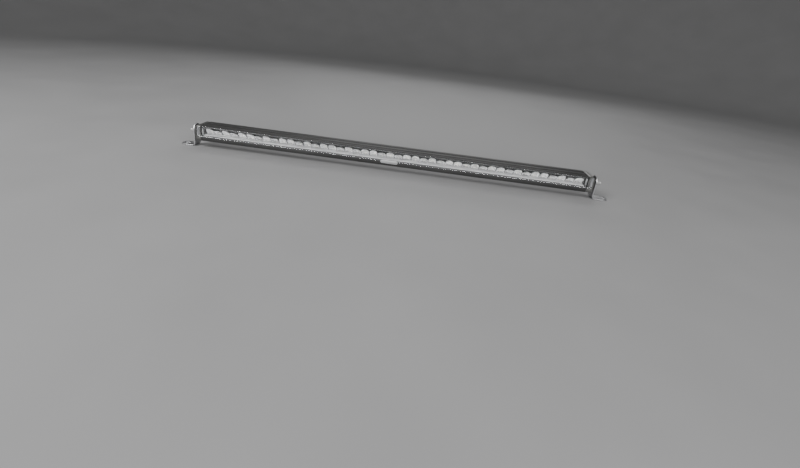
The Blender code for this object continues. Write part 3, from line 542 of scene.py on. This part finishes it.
def cap_body(work, side):
    middle = side * (CAP_FACE - CAP_THICK / 2)
    half = CAP_THICK / 2
    sections = [(middle - side * half, cap_outline())]
    shorts = {11.0 * (1 - math.sin(math.radians(a))) for a in range(0, 91, 5)} | {3.0 * (1 - math.sin(math.radians(a))) for a in range(0, 90, 15)}
    for short in sorted(shorts, reverse=True):
        insets = [cap_rounding(short, radius) for radius in (3.0, 11.0, 7.0)]
        sections.append((middle + side * (half - short), cap_outline(*insets)))
    rings = [[work.verts.new((x, u, v)) for u, v in outline] for x, outline in sections]
    for low, high in zip(rings, rings[1:]):
        for i in range(len(low)):
            j = (i + 1) % len(low)
            work.faces.new((low[i], low[j], high[j], high[i]))
    work.faces.new(rings[0])
    work.faces.new(rings[-1])


def box(work, low, high):
    made = bmesh.ops.create_cube(work, size=1.0)["verts"]
    low, high = Vector([min(a, b) for a, b in zip(low, high)]), Vector([max(a, b) for a, b in zip(low, high)])
    bmesh.ops.scale(work, vec=high - low, verts=made)
    bmesh.ops.translate(work, vec=(high + low) / 2, verts=made)


def rod(work, r, centre, direction, low, high, steps=40):
    lathe(work, [(0, low), (r, low), (r, high), (0, high)], centre, direction, steps)


for side, word in ((-1, "left"), (1, "right")):
    out = "x" if side > 0 else "-x"
    steps = [
        ("UNION", solid(rod, 13.0, (side * 624, *PIVOT), out, -2.0, 3.7, 64)),
        (
            "DIFFERENCE",
            solid(
                prism,
                "y",
                round_box((-LENS_HALF - 0.4, LENS_LOW - 0.4), (LENS_HALF + 0.4, LENS_HIGH + 0.4), LENS_ROUND + 0.4, 12),
                -5.0,
                RECESS,
            ),
        ),
        ("DIFFERENCE", solid(box, (side * 600, 11.0, 15.6), (side * 617, 38.0, 38.5))),
        ("DIFFERENCE", solid(box, (side * 600, 1.0, 15.6), (side * 608, 11.9, 45.0))),
        ("DIFFERENCE", solid(rod, 4.3, (side * 622, *PIVOT), out, -12, 12, 40)),
    ]
    for yp, zp in SCREWS:
        steps.append(("DIFFERENCE", solid(rod, 1.8, (side * 612, yp, zp), out, -15, 15, 20)))
        steps.append(("DIFFERENCE", solid(rod, 3.8, (side * 620.4, yp, zp), out, 0.0, 8.0, 32)))
    mesh = cleaned(carve(solid(cap_body, side), steps), 0.4)
    piece(f"end_cap_{word}_cast", softened(mesh, 0.3, 2, 40.0), CAP_COAT, BODY, f"end_cap_{word}")
    from_node(f"end_gasket_{word}", f"end_gasket_{word}_seal", GASKET, 0.1)

# ---------------------------------------------------------------- lens and seal
mesh = solid(prism, "y", round_box((-LENS_HALF, LENS_LOW), (LENS_HALF, LENS_HIGH), LENS_ROUND, 14), LENS_FRONT, LENS_BACK)
piece("lens_cover_clear", softened(mesh, 0.6, 3, 60.0), LENS, BODY, "lens_cover")
from_node("lens_gasket", "lens_gasket_seal", GASKET, 0.15)


# ------------------------------------------------------------ reflector modules
def scoops(work):
    """The row of five scoops as a thin shell, on the same surface as the CAD one but fine."""
    columns = []
    for index, kind in enumerate(("tall", "low", "tall", "low", "tall")):
        middle = (index - 2) * CELL
        for k in range(29):
            share = math.sin(math.radians(-90 + 180 * k / 28))
            x = share * (CELL / 2 - 0.15)
            if kind == "tall":
                rim = 3.0 + (TALL - 3.0) * math.sqrt(max(0.0, 1.0 - share**2))
            else:
                rim = 3.0 + (LOW - 3.0) * math.sqrt(max(0.0, 1.0 - share**4))
            columns.append((kind, middle + x, x, rim))
    rows = [(k / 14) ** 0.9 for k in range(15)]
    fronts, backs = [], []
    for kind, x, local, rim in columns:
        front, back = [], []
        for row in rows:
            z = -0.5 + (rim + 0.5) * row
            y = BOWL_BACK - local * local / BOWL_A - max(z, 0.0) ** 2 / BOWL_B[kind]
            front.append(work.verts.new((x, y, z + FLOOR)))
            back.append(work.verts.new((x, y + 2.0, z + FLOOR)))
        fronts.append(front)
        backs.append(back)
    n, m = len(columns), len(rows)
    for i in range(n - 1):
        for j in range(m - 1):
            work.faces.new((fronts[i][j], fronts[i + 1][j], fronts[i + 1][j + 1], fronts[i][j + 1]))
            work.faces.new((backs[i][j], backs[i][j + 1], backs[i + 1][j + 1], backs[i + 1][j]))
        for j in (0, m - 1):
            work.faces.new((fronts[i][j], backs[i][j], backs[i + 1][j], fronts[i + 1][j]))
    for i in (0, n - 1):
        for j in range(m - 1):
            work.faces.new((fronts[i][j], fronts[i][j + 1], backs[i][j + 1], backs[i][j]))


def windows(work):
    for index in range(CELLS):
        rod(work, 3.5, ((index - 2) * CELL, LED_DEPTH, FLOOR - 0.6), "z", -2.0, 2.0, 40)


plate = carve(
    solid(box, (-WIDTH / 2, 4.3, FLOOR - 1.2), (WIDTH / 2, 42.6, FLOOR)), [("DIFFERENCE", solid(windows))]
)
module = carve(plate, [("UNION", solid(scoops))])
# lift (share of the rim height) and side (share across the cell) place the painted shade and painted highlights of the
# reflector coating
lift = module.attributes.new("lift", "FLOAT", "POINT")
edge = module.attributes.new("side", "FLOAT", "POINT")
for vert in module.vertices:
    x, y, z = vert.co
    cell = min(CELLS - 1, max(0, int((x + WIDTH / 2) // CELL)))
    share = min(1.0, abs(x - (cell - 2) * CELL) / (CELL / 2 - 0.15))
    if cell % 2:
        rim = 3.0 + (LOW - 3.0) * math.sqrt(1.0 - share**4)
    else:
        rim = 3.0 + (TALL - 3.0) * math.sqrt(1.0 - share**2)
    lift.data[vert.index].value = min(1.0, max(0.0, (z - FLOOR) / rim))
    edge.data[vert.index].value = share if z > FLOOR + 0.05 else 0.0
for index in range(MODULES):
    middle = (index - (MODULES - 1) / 2) * PITCH
    mesh = module.copy()
    for vert in mesh.vertices:
        vert.co.x += middle
    piece(f"reflector_{index + 1}", mesh, REFLECTOR, BODY, f"reflector_module_{index + 1}", sharp=30.0)


# ------------------------------------------------------------------ LED boards
def led_board(work, middle):
    box(work, (middle - 198.7, 8.2, 16.5), (middle + 198.7, 42.4, 17.9))
    for face in work.faces:
        face.material_index = 0
    count = len(work.faces)
    for module_index in (-1, 0, 1):
        for cell in range(CELLS):
            x = middle + module_index * PITCH + (cell - 2) * CELL
            y = LED_DEPTH
            prism(work, "z", shifted(round_box((-1.7, -1.7), (1.7, 1.7), 0.25, 3), x, y), 17.85, 18.35)
            work.faces.ensure_lookup_table()
            for face in work.faces[count:]:
                face.material_index = 1
            count = len(work.faces)
            lathe(work, [(1.25, 0.0), (1.25, 0.12), (1.05, 0.4), (0.7, 0.56), (0.3, 0.63), (0, 0.65)], (x, y, 18.33), "z", 20)
            work.faces.ensure_lookup_table()
            for face in work.faces[count:]:
                face.material_index = 2
            count = len(work.faces)
            for end in (-1, 1):
                box(work, (x - 2.3, y + end * 2.5 - 0.35, 17.8), (x + 2.3, y + end * 2.5 + 0.35, 17.95))
            work.faces.ensure_lookup_table()
            for face in work.faces[count:]:
                face.material_index = 3
            count = len(work.faces)


for index in range(3):
    mesh = solid(led_board, (index - 1) * 3 * PITCH)
    piece(f"led_board_{index + 1}_populated", mesh, [BOARD, LED_CERAMIC, PHOSPHOR, STEEL], BODY, f"led_board_{index + 1}")

from_node("heat_spreader", "heat_spreader_plate", SPREADER, 0.25)


# trims: the same sections as the CAD's, with their curves drawn finely
def smooth_line(points, per_span=6):
    """Points along a smooth curve through the given ones."""
    out = []
    last = len(points) - 1
    for k in range(last):
        p = [points[max(k - 1, 0)], points[k], points[k + 1], points[min(k + 2, last)]]
        for i in range(per_span):
            u = i / per_span
            out.append(
                tuple(
                    0.5
                    * (
                        2 * p[1][a]
                        + (p[2][a] - p[0][a]) * u
                        + (2 * p[0][a] - 5 * p[1][a] + 4 * p[2][a] - p[3][a]) * u * u
                        + (3 * p[1][a] - p[0][a] - 3 * p[2][a] + p[3][a]) * u**3
                    )
                    for a in range(len(p[0]))
                )
            )
    out.append(points[-1])
    return out


upper = smooth_line([(6.4, 46.3), (6.4, 45.2), (6.7, 43.8), (7.6, 42.7), (9.0, 41.9)]) + smooth_line(
    [(9.6, 42.8), (8.5, 43.5), (7.9, 44.3), (7.6, 45.4), (7.6, 46.3)]
)
piece("upper_trim_strip", softened(solid(prism, "x", upper, -602.0, 602.0), 0.12, 1, 50.0), TRIM, BODY, "upper_trim")
from_node("lower_trim", "lower_trim_strip", LOWER_TRIM, 0.15)
for word in ("left", "right"):
    from_node(f"reflector_end_trim_{word}", f"end_trim_{word}_strip", TRIM, 0.2)


# -------------------------------------------------------------- driver circuit
def driver_board(work):
    box(work, (-75.0, 15.7, 3.4), (75.0, 38.3, 5.0))
    count = len(work.faces)
    spots = [(-62, 20.5), (-55, 33), (-48, 20), (-30, 34), (-26, 20), (-20, 33.5), (2, 20), (6, 33), (10, 27), (34, 21), (38, 33), (44, 27), (66, 19), (68, 35)]
    for k, (x, y) in enumerate(spots):
        wide, deep = ((1.6, 0.8), (1.0, 0.6), (2.1, 1.3))[k % 3]
        box(work, (x - wide, y - deep, 4.95), (x + wide, y + deep, 5.7))
    work.faces.ensure_lookup_table()
    for face in work.faces[count:]:
        face.material_index = 1


piece("driver_board_populated", solid(driver_board), [LAMINATE, CHIP], BODY, "driver_board")


def inductor(work):
    lathe(work, [(0, 5.6), (3.0, 5.6), (3.3, 6.0), (5.4, 6.0), (5.9, 5.6), (6.0, 5.0), (6.0, 4.4), (5.3, 4.1), (5.3, 1.9), (6.0, 1.6), (6.0, 0), (0, 0)], (-40, 27, 5.3), "z", 40)


piece("driver_inductor_core", solid(inductor), FERRITE, BODY, "driver_inductor")
for word, x in (("input", -62.0), ("output", 22.0)):
    mesh = solid(
        lathe,
        [(0, 6.9), (2.6, 6.9), (2.9, 7.2), (3.5, 7.2), (3.9, 6.8), (4.0, 6.2), (4.0, 1.4), (3.75, 1.1), (3.75, 0.8), (4.0, 0.5), (4.0, 0), (0, 0)],
        (x, 27, 5.3),
        "z",
        36,
    )
    piece(f"driver_capacitor_{word}_can", mesh, CAN, BODY, f"driver_capacitor_{word}")
from_node("driver_mosfet", "driver_mosfet_chip", CHIP, 0.25)


def connector(work):
    box(work, (49.0, 23.0, 5.3), (59.0, 31.0, 10.3))


mesh = carve(
    solid(connector),
    [
        ("DIFFERENCE", solid(box, (57.5, 24.2, 6.4), (59.5, 26.6, 9.2))),
        ("DIFFERENCE", solid(box, (57.5, 27.4, 6.4), (59.5, 29.8, 9.2))),
    ],
)
piece("driver_connector_block", softened(mesh, 0.25, 2), CONNECTOR, BODY, "driver_connector")


def tube(work, route, radius, sides=16):
    rings = []
    for k, point in enumerate(route):
        before, after = Vector(route[max(k - 1, 0)]), Vector(route[min(k + 1, len(route) - 1)])
        ahead = (after - before).normalized()
        across = ahead.cross(Vector((0, 1, 0))).normalized()
        up = across.cross(ahead)
        rings.append(
            [
                work.verts.new(Vector(point) + (across * math.cos(2 * math.pi * s / sides) + up * math.sin(2 * math.pi * s / sides)) * radius)
                for s in range(sides)
            ]
        )
    for a, b in zip(rings, rings[1:]):
        for s in range(sides):
            t = (s + 1) % sides
            work.faces.new((a[s], a[t], b[t], b[s]))
    work.faces.new(rings[0])
    work.faces.new(rings[-1])


for word, shift, paint in (("red", -1.6, WIRE_RED), ("black", 1.6, WIRE_BLACK)):
    route = smooth_line(
        [
            (59.6, 27 + shift, 8.2),
            (66.0, 27 + shift, 8.6),
            (84.0, 28 + shift, 9.6),
            (102.0, 30 + shift * 0.9, 10.0),
            (112.0, 30 + shift * 0.9, 11.4),
            (114.6, 30 + shift * 0.9, 15.5),
        ],
        8,
    )
    piece(f"wire_{word}_lead", solid(tube, route, 0.8), paint, BODY, f"wire_{word}")


# -------------------------------------------------------------- gland and vent
def six_sided(work, half, centre, direction, low, high, chamfer=0.5, steps=72):
    """A hexagon across its flats, with its corners turned off at both ends."""
    axis = direction[-1]
    sign = -1.0 if direction[0] == "-" else 1.0

    def reach(angle):
        return half / math.cos((angle + math.pi / 6) % (math.pi / 3) - math.pi / 6)

    rows = []
    for share in (0, 1, 2, 3):
        h = (low, low + chamfer * 0.58, high - chamfer * 0.58, high)[share]
        row = []
        for k in range(steps):
            angle = 2 * math.pi * k / steps
            r = reach(angle)
            limit = half * HEX - chamfer if share in (0, 3) else half * HEX
            row.append(work.verts.new(_turned(axis, sign, centre, min(r, limit), angle, h)))
        rows.append(row)
    for a, b in zip(rows, rows[1:]):
        for k in range(steps):
            j = (k + 1) % steps
            work.faces.new((a[k], a[j], b[j], b[k]))
    work.faces.new(rows[0])
    work.faces.new(rows[-1])


gland = (GLAND_X, 50.3, GLAND_Z)
mesh = carve(
    solid(lathe, [(0, 9.7), (5.6, 9.7), (6.0, 9.3), (6.0, 6.0), (6.0, -6.9), (5.6, -7.3), (0, -7.3)], gland, "y", 64),
    [
        ("UNION", solid(six_sided, 8.5, gland, "y", -0.2, 3.8, 0.9)),
        ("DIFFERENCE", solid(rod, 4.6, gland, "y", -12, 14, 48)),
    ],
)
piece("gland_body_moulded", softened(cleaned(mesh), 0.15, 2), BLACK_NYLON, BODY, "cable_gland_body")
mesh = carve(
    solid(six_sided, 8.0, (GLAND_X, 45.1, GLAND_Z), "y", -1.6, 1.6, 0.8),
    [("DIFFERENCE", solid(rod, 6.35, (GLAND_X, 45.1, GLAND_Z), "y", -6, 6, 64))],
)
piece("gland_locknut_moulded", softened(cleaned(mesh), 0.15, 2), BLACK_NYLON, BODY, "cable_gland_locknut")


def gland_nut(work):
    profile = [(0, 5.4), (4.9, 5.4), (5.6, 5.2), (6.3, 4.7), (6.9, 3.9), (7.3, 2.8), (7.55, 1.2), (7.6, 0), (7.6, -3), (0, -3)]
    lathe(work, profile, (GLAND_X, 60.6, GLAND_Z), "y", 72)


mesh = carve(
    solid(six_sided, 8.0, (GLAND_X, 57.8, GLAND_Z), "y", -3.0, 3.0, 1.0),
    [
        ("UNION", solid(gland_nut)),
        ("DIFFERENCE", solid(rod, 6.35, (GLAND_X, 56.3, GLAND_Z), "y", -4.3, 4.3, 64)),
        ("DIFFERENCE", solid(rod, 4.0, (GLAND_X, 62.0, GLAND_Z), "y", -15, 15, 48)),
    ],
)
piece("gland_nut_moulded", softened(cleaned(mesh), 0.15, 2), BLACK_NYLON, BODY, "cable_gland_nut")
seal_profile = [(4.25, 8.8), (4.1, 9.0), (3.4, 9.0), (3.25, 8.7), (3.25, 6.5), (3.4, 6.2), (3.4, 4.8), (3.25, 4.5), (3.25, -0.8), (3.4, -1.0), (4.1, -1.0), (4.25, -0.8)]
piece("gland_seal_ring", solid(lathe, seal_profile, gland, "y", 48, ring=True), PAD_RUBBER, BODY, "cable_gland_seal")


def vent(work):
    profile = [(0, 3.9), (1.6, 3.9), (1.8, 4.1), (1.8, 4.9), (2.0, 5.0), (5.0, 5.0), (5.6, 4.85), (6.2, 4.4), (6.5, 3.8), (6.5, 0.6), (6.3, 0.4), (3.0, 0.4), (3.0, -3.0), (0, -3.0)]
    lathe(work, profile, (VENT_X, 50.0, GLAND_Z), "y", 64)
    work.faces.ensure_lookup_table()
    for face in work.faces:
        middle = face.calc_center_median()
        if middle.y > 53.8 and math.hypot(middle.x - VENT_X, middle.z - GLAND_Z) < 1.7:
            face.material_index = 1


slots = []
for k in range(6):
    turn = math.radians(60 * k)
    x, z = VENT_X + 6.7 * math.cos(turn), GLAND_Z + 6.7 * math.sin(turn)
    slots.append(("DIFFERENCE", solid(rod, 0.75, (x, 53.6, z), "y", -3.4, 3.4, 20)))
piece("vent_plug_moulded", softened(cleaned(carve(solid(vent), slots), 0.2), 0.1, 1), [BLACK_NYLON, MEMBRANE], BODY, "vent_plug")


# ------------------------------------------------------------------------ badge
def badge(work):
    rings = []
    outline = lambda inset: round_box((-28.0 + inset, 6.4 + inset), (28.0 - inset, 19.2 - inset), 6.2 - inset, 12)
    sections = [(-0.3, 0.0, 0), (-0.8, 0.0, 0), (-0.95, 0.15, 0), (-0.95, 1.1, 0), (-0.75, 1.35, 1), (-0.75, 1.5, 1), (-1.0, 1.75, 1), (-1.1, 2.1, 1)]
    for yp, inset, _ in sections:
        rings.append([work.verts.new((u, yp, v)) for u, v in outline(inset)])
    for (a, b), (_, _, paint) in zip(zip(rings, rings[1:]), sections[1:]):
        for i in range(len(a)):
            j = (i + 1) % len(a)
            work.faces.new((a[i], a[j], b[j], b[i])).material_index = paint
    work.faces.new(rings[0]).material_index = 0
    work.faces.new(rings[-1]).material_index = 1


piece("badge_plate_blank", solid(badge), [BADGE_RIM, BADGE], BODY, "badge_plate")


# ---------------------------------------------------------- brackets and pivots
def bracket(side):
    """The folded plate, drawn as a bent section and trimmed to its round ends."""
    inner, outer = 6.0, 9.0
    cx, cz = 631.0 + outer, -FOOT_DROP + outer
    section = (
        [(631.0, 50.1), (631.0, cz)]
        + arc((cx, cz), outer, 180, 270, 16)[1:]
        + [(682.6, -FOOT_DROP), (682.6, -FOOT_DROP + 3.0)]
        + arc((cx, cz), inner, 270, 180, 16)
        + [(634.0, 50.1)]
    )
    plate = solid(prism, "y", [(side * u, v) for u, v in section], 8.5, 41.5)
    yp, r = PIVOT[0], 16.5
    zc = 49.5 - r
    top = [(yp - r - 4, 56.0), (yp - r - 4, zc), (yp - r, zc)] + arc((yp, zc), r, 180, 0, 40)[1:-1] + [(yp + r, zc), (yp + r + 4, zc), (yp + r + 4, 56.0)]
    spans = sorted((side * 626.5, side * 638.5))
    xc = 682.0 - r
    end = (
        [(side * 688.0, yp - r - 4), (side * xc, yp - r - 4), (side * xc, yp - r)]
        + [(side * u, v) for u, v in arc((xc, yp), r, -90, 90, 40)[1:-1]]
        + [(side * xc, yp + r), (side * xc, yp + r + 4), (side * 688.0, yp + r + 4)]
    )
    half = 8.5 - 4.25
    slot = arc((side * 664.5 + half, yp), 4.25, -90, 90, 20) + arc((side * 664.5 - half, yp), 4.25, 90, 270, 20)
    mesh = carve(
        plate,
        [
            ("DIFFERENCE", solid(prism, "x", top, *spans)),
            ("DIFFERENCE", solid(prism, "z", end, -29.0, -15.0)),
            ("DIFFERENCE", solid(prism, "z", slot, -29.0, -15.0)),
            ("DIFFERENCE", solid(rod, 4.35, (side * 632.5, *PIVOT), "x", -8, 8, 48)),
        ],
    )
    return softened(cleaned(mesh, 0.3), 0.35, 3, 40.0)


def thread(work, centre, direction, low, high, core, crest, pitch, steps=40):
    """A helical thread round a core, fading into the core at both ends."""
    axis = direction[-1]
    sign = -1.0 if direction[0] == "-" else 1.0
    turns = (high - low) / pitch
    rows = []
    for i in range(int(turns * 4) + 1):
        row = []
        for k in range(steps):
            h = low + pitch * i / 4 + pitch * k / steps
            h = min(h, high)
            phase = (i % 4) / 4
            r = core + (crest - core) * (1.0 - abs(2 * phase - 1.0))
            fade = min(1.0, max(0.0, (high - h) / (pitch * 0.8)), max(0.0, (h - low) / (pitch * 0.4)))
            r = core + (r - core) * fade
            row.append(work.verts.new(_turned(axis, sign, centre, r, 2 * math.pi * k / steps, h)))
        rows.append(row)
    for i, (a, b) in enumerate(zip(rows, rows[1:])):
        for k in range(steps - 1):
            work.faces.new((a[k], a[k + 1], b[k + 1], b[k]))
    for i in range(len(rows) - 5):
        work.faces.new((rows[i][steps - 1], rows[i + 4][0], rows[i + 5][0], rows[i + 1][steps - 1]))


for side, word, body in ((-1, "left", LEFT), (1, "right", RIGHT)):
    out = "x" if side > 0 else "-x"
    piece(f"bracket_{word}_plate", bracket(side), BRACKET, body, f"bracket_{word}")

    def spot(x):
        return (side * x, *PIVOT)

    def bolt(work):
        rings = [(0, 35.3), (2.6, 35.3), (3.1, 35.0), (3.35, 34.5)]
        height = 34.5
        while height > 18.6:  # rounded crests and roots stand for the thread
            rings += [(3.42, height - 0.1), (3.92, height - 0.5), (3.97, height - 0.63), (3.92, height - 0.76), (3.42, height - 1.15)]
            height -= 1.25
        rings += [(3.95, height - 0.3), (4.0, height - 0.6), (4.0, 0), (6.2, 0), (6.5, -0.3), (6.5, -2.9), (6.2, -3.2), (0, -3.2)]
        lathe(work, rings, spot(616.7), out, 48)

    piece(f"pivot_bolt_{word}_threaded", solid(bolt), STEEL, BODY, f"pivot_bolt_{word}", sharp=50.0)
    pad = [(12.0, 0.9), (11.6, 1.3), (4.9, 1.3), (4.5, 0.9), (4.5, -0.9), (4.9, -1.3), (11.6, -1.3), (12.0, -0.9), (11.8, 0.0)]
    piece(f"pivot_pad_{word}_ring", solid(lathe, pad, spot(629.35), out, 64, ring=True), PAD_RUBBER, BODY, f"pivot_pad_{word}")
    flat = [(8.5, 0.6), (8.3, 0.8), (4.55, 0.8), (4.35, 0.6), (4.35, -0.6), (4.55, -0.8), (8.3, -0.8), (8.5, -0.6)]
    piece(f"flat_washer_{word}_ring", solid(lathe, flat, spot(635.1), out, 64, ring=True), STEEL, BODY, f"flat_washer_{word}")
    split = [(7.2, 0.8), (6.95, 1.05), (4.6, 1.05), (4.35, 0.8), (4.35, -0.8), (4.6, -1.05), (6.95, -1.05), (7.2, -0.8)]
    gap = solid(box, (-4.0, -0.45, -3.0), (4.0, 0.45, 3.0))
    for vert in gap.vertices:
        x, y, z = vert.co
        x, y = x * math.cos(0.5) - y * math.sin(0.5), x * math.sin(0.5) + y * math.cos(0.5)
        vert.co = Vector((x, y, z)) + Vector((side * 637.25, PIVOT[0], PIVOT[1] + 6.2))
    mesh = carve(solid(lathe, split, spot(637.25), out, 64, ring=True), [("DIFFERENCE", gap)])
    piece(f"spring_washer_{word}_ring", mesh, STEEL, BODY, f"spring_washer_{word}")
    crown = [(0, 3.25), (5.9, 3.25), (6.4, 3.15), (7.0, 2.85), (7.55, 2.35), (7.55, -2.35), (7.0, -2.85), (6.4, -3.15), (5.9, -3.25), (0, -3.25)]
    mesh = carve(
        solid(six_sided, 6.5, spot(641.9), out, -3.25, 3.25, 0.01),
        [
            ("INTERSECT", solid(lathe, crown, spot(641.9), out, 72)),
            ("DIFFERENCE", solid(rod, 4.35, spot(641.9), out, -6, 6, 48)),
        ],
    )
    piece(f"pivot_nut_{word}_hex", softened(cleaned(mesh), 0.15, 2), STEEL, BODY, f"pivot_nut_{word}")

    for k, (yp, zp) in enumerate(SCREWS):
        head = [(0, 2.4), (2.4, 2.4), (2.75, 2.25), (3.05, 1.9), (3.2, 1.4), (3.2, 0.15), (3.05, 0), (1.45, 0), (1.45, -27.0), (0.7, -29.5), (0, -29.5)]
        mesh = carve(
            solid(lathe, head, (side * 620.7, yp, zp), out, 36),
            [("DIFFERENCE", solid(prism, "x", shifted(hexagon(1.45, 15), yp, zp), *sorted((side * 621.9, side * 625.0))))],
        )
        name = f"end_cap_screw_{word}_{k + 1}"
        piece(f"{name}_socket", mesh, BLACK_STEEL, BODY, name)


# ------------------------------------------------------------- floor and lights
def studio():
    """A round grey floor that curves up into a wall, the same from every side."""
    work = bmesh.new()
    profile = [(0.0, 0.0), (1.0, 0.0), (2.5, 0.0), (4.5, 0.0)]
    profile += [(4.5 + 2.5 * math.sin(math.radians(a)), 2.5 - 2.5 * math.cos(math.radians(a))) for a in range(6, 91, 6)]
    profile += [(7.0, 4.0), (7.0, 6.0)]
    steps = 96
    rows = []
    for r, z in profile:
        if r == 0:
            rows.append([work.verts.new((0, 0, z - 0.0004))])
        else:
            rows.append([work.verts.new((r * math.cos(2 * math.pi * k / steps), r * math.sin(2 * math.pi * k / steps), z - 0.0004)) for k in range(steps)])
    for a, b in zip(rows, rows[1:]):
        for k in range(steps):
            j = (k + 1) % steps
            corners = []
            for vert in (a[k % len(a)], b[k % len(b)], b[j % len(b)], a[j % len(a)]):
                if vert not in corners:
                    corners.append(vert)
            work.faces.new(corners)
    mesh = bpy.data.meshes.new("studio_floor")
    work.to_mesh(mesh)
    work.free()
    mesh.shade_smooth()
    obj = bpy.data.objects.new("studio_floor", mesh)
    bpy.context.scene.collection.objects.link(obj)
    n = Nodes("grey_floor").set(Specular_IOR_Level=0.2)
    cloud = n.noise(3.0, 3.0)
    mesh.materials.append(n.paint(n.blend(n.spread(cloud, 0.0, 1.0), (0.19, 0.19, 0.191), (0.205, 0.205, 0.206)), n.spread(cloud, 0.6, 0.7)))


studio()

world = bpy.data.worlds.new("studio")
bpy.context.scene.world = world
world.use_nodes = True
world.node_tree.nodes["Background"].inputs["Color"].default_value = (1.0, 1.0, 1.0, 1.0)
world.node_tree.nodes["Background"].inputs["Strength"].default_value = 0.45


def lamp(name, place, target, size, watts, colour=(1, 1, 1)):
    data = bpy.data.lights.new(name, "AREA")
    data.shape = "RECTANGLE"
    data.size, data.size_y = size
    data.energy = watts
    data.color = colour
    obj = bpy.data.objects.new(name, data)
    bpy.context.scene.collection.objects.link(obj)
    obj.visible_camera = False
    obj.location = place
    obj.rotation_euler = (Vector(target) - Vector(place)).to_track_quat("-Z", "Y").to_euler()
    return obj


lamp("key", (-2.1, -1.8, 2.4), (0, 0, 0.05), (1.5, 1.1), 120)
lamp("fill", (2.4, -2.2, 2.0), (0, 0, 0.05), (1.8, 1.4), 40)
lamp("back", (-0.3, 1.9, 2.8), (0, 0, 0.05), (3.2, 0.9), 34)
lamp("front", (-0.2, -2.8, 0.62), (0, 0, 0.06), (5.0, 0.5), 108)
lamp("left", (-2.3, -1.9, 0.6), (-0.45, 0, 0.06), (1.0, 0.6), 28)
lamp("right", (2.3, -1.9, 0.6), (0.45, 0, 0.06), (1.0, 0.6), 24)
lamp("rear", (0.3, 2.6, 1.25), (0, 0, 0.05), (3.0, 0.6), 20)

camera = bpy.data.objects.new("camera", bpy.data.cameras.new("camera"))
bpy.context.scene.collection.objects.link(camera)
bpy.context.scene.camera = camera
camera.location = (0.09238, -1.152842, 0.414276)
camera.rotation_euler = (1.247332, -0.110361, 0.088933)
camera.data.sensor_width = 36.0
camera.data.lens = 17.1966
camera.data.shift_y = -0.09
camera.data.clip_start, camera.data.clip_end = 0.01, 60.0
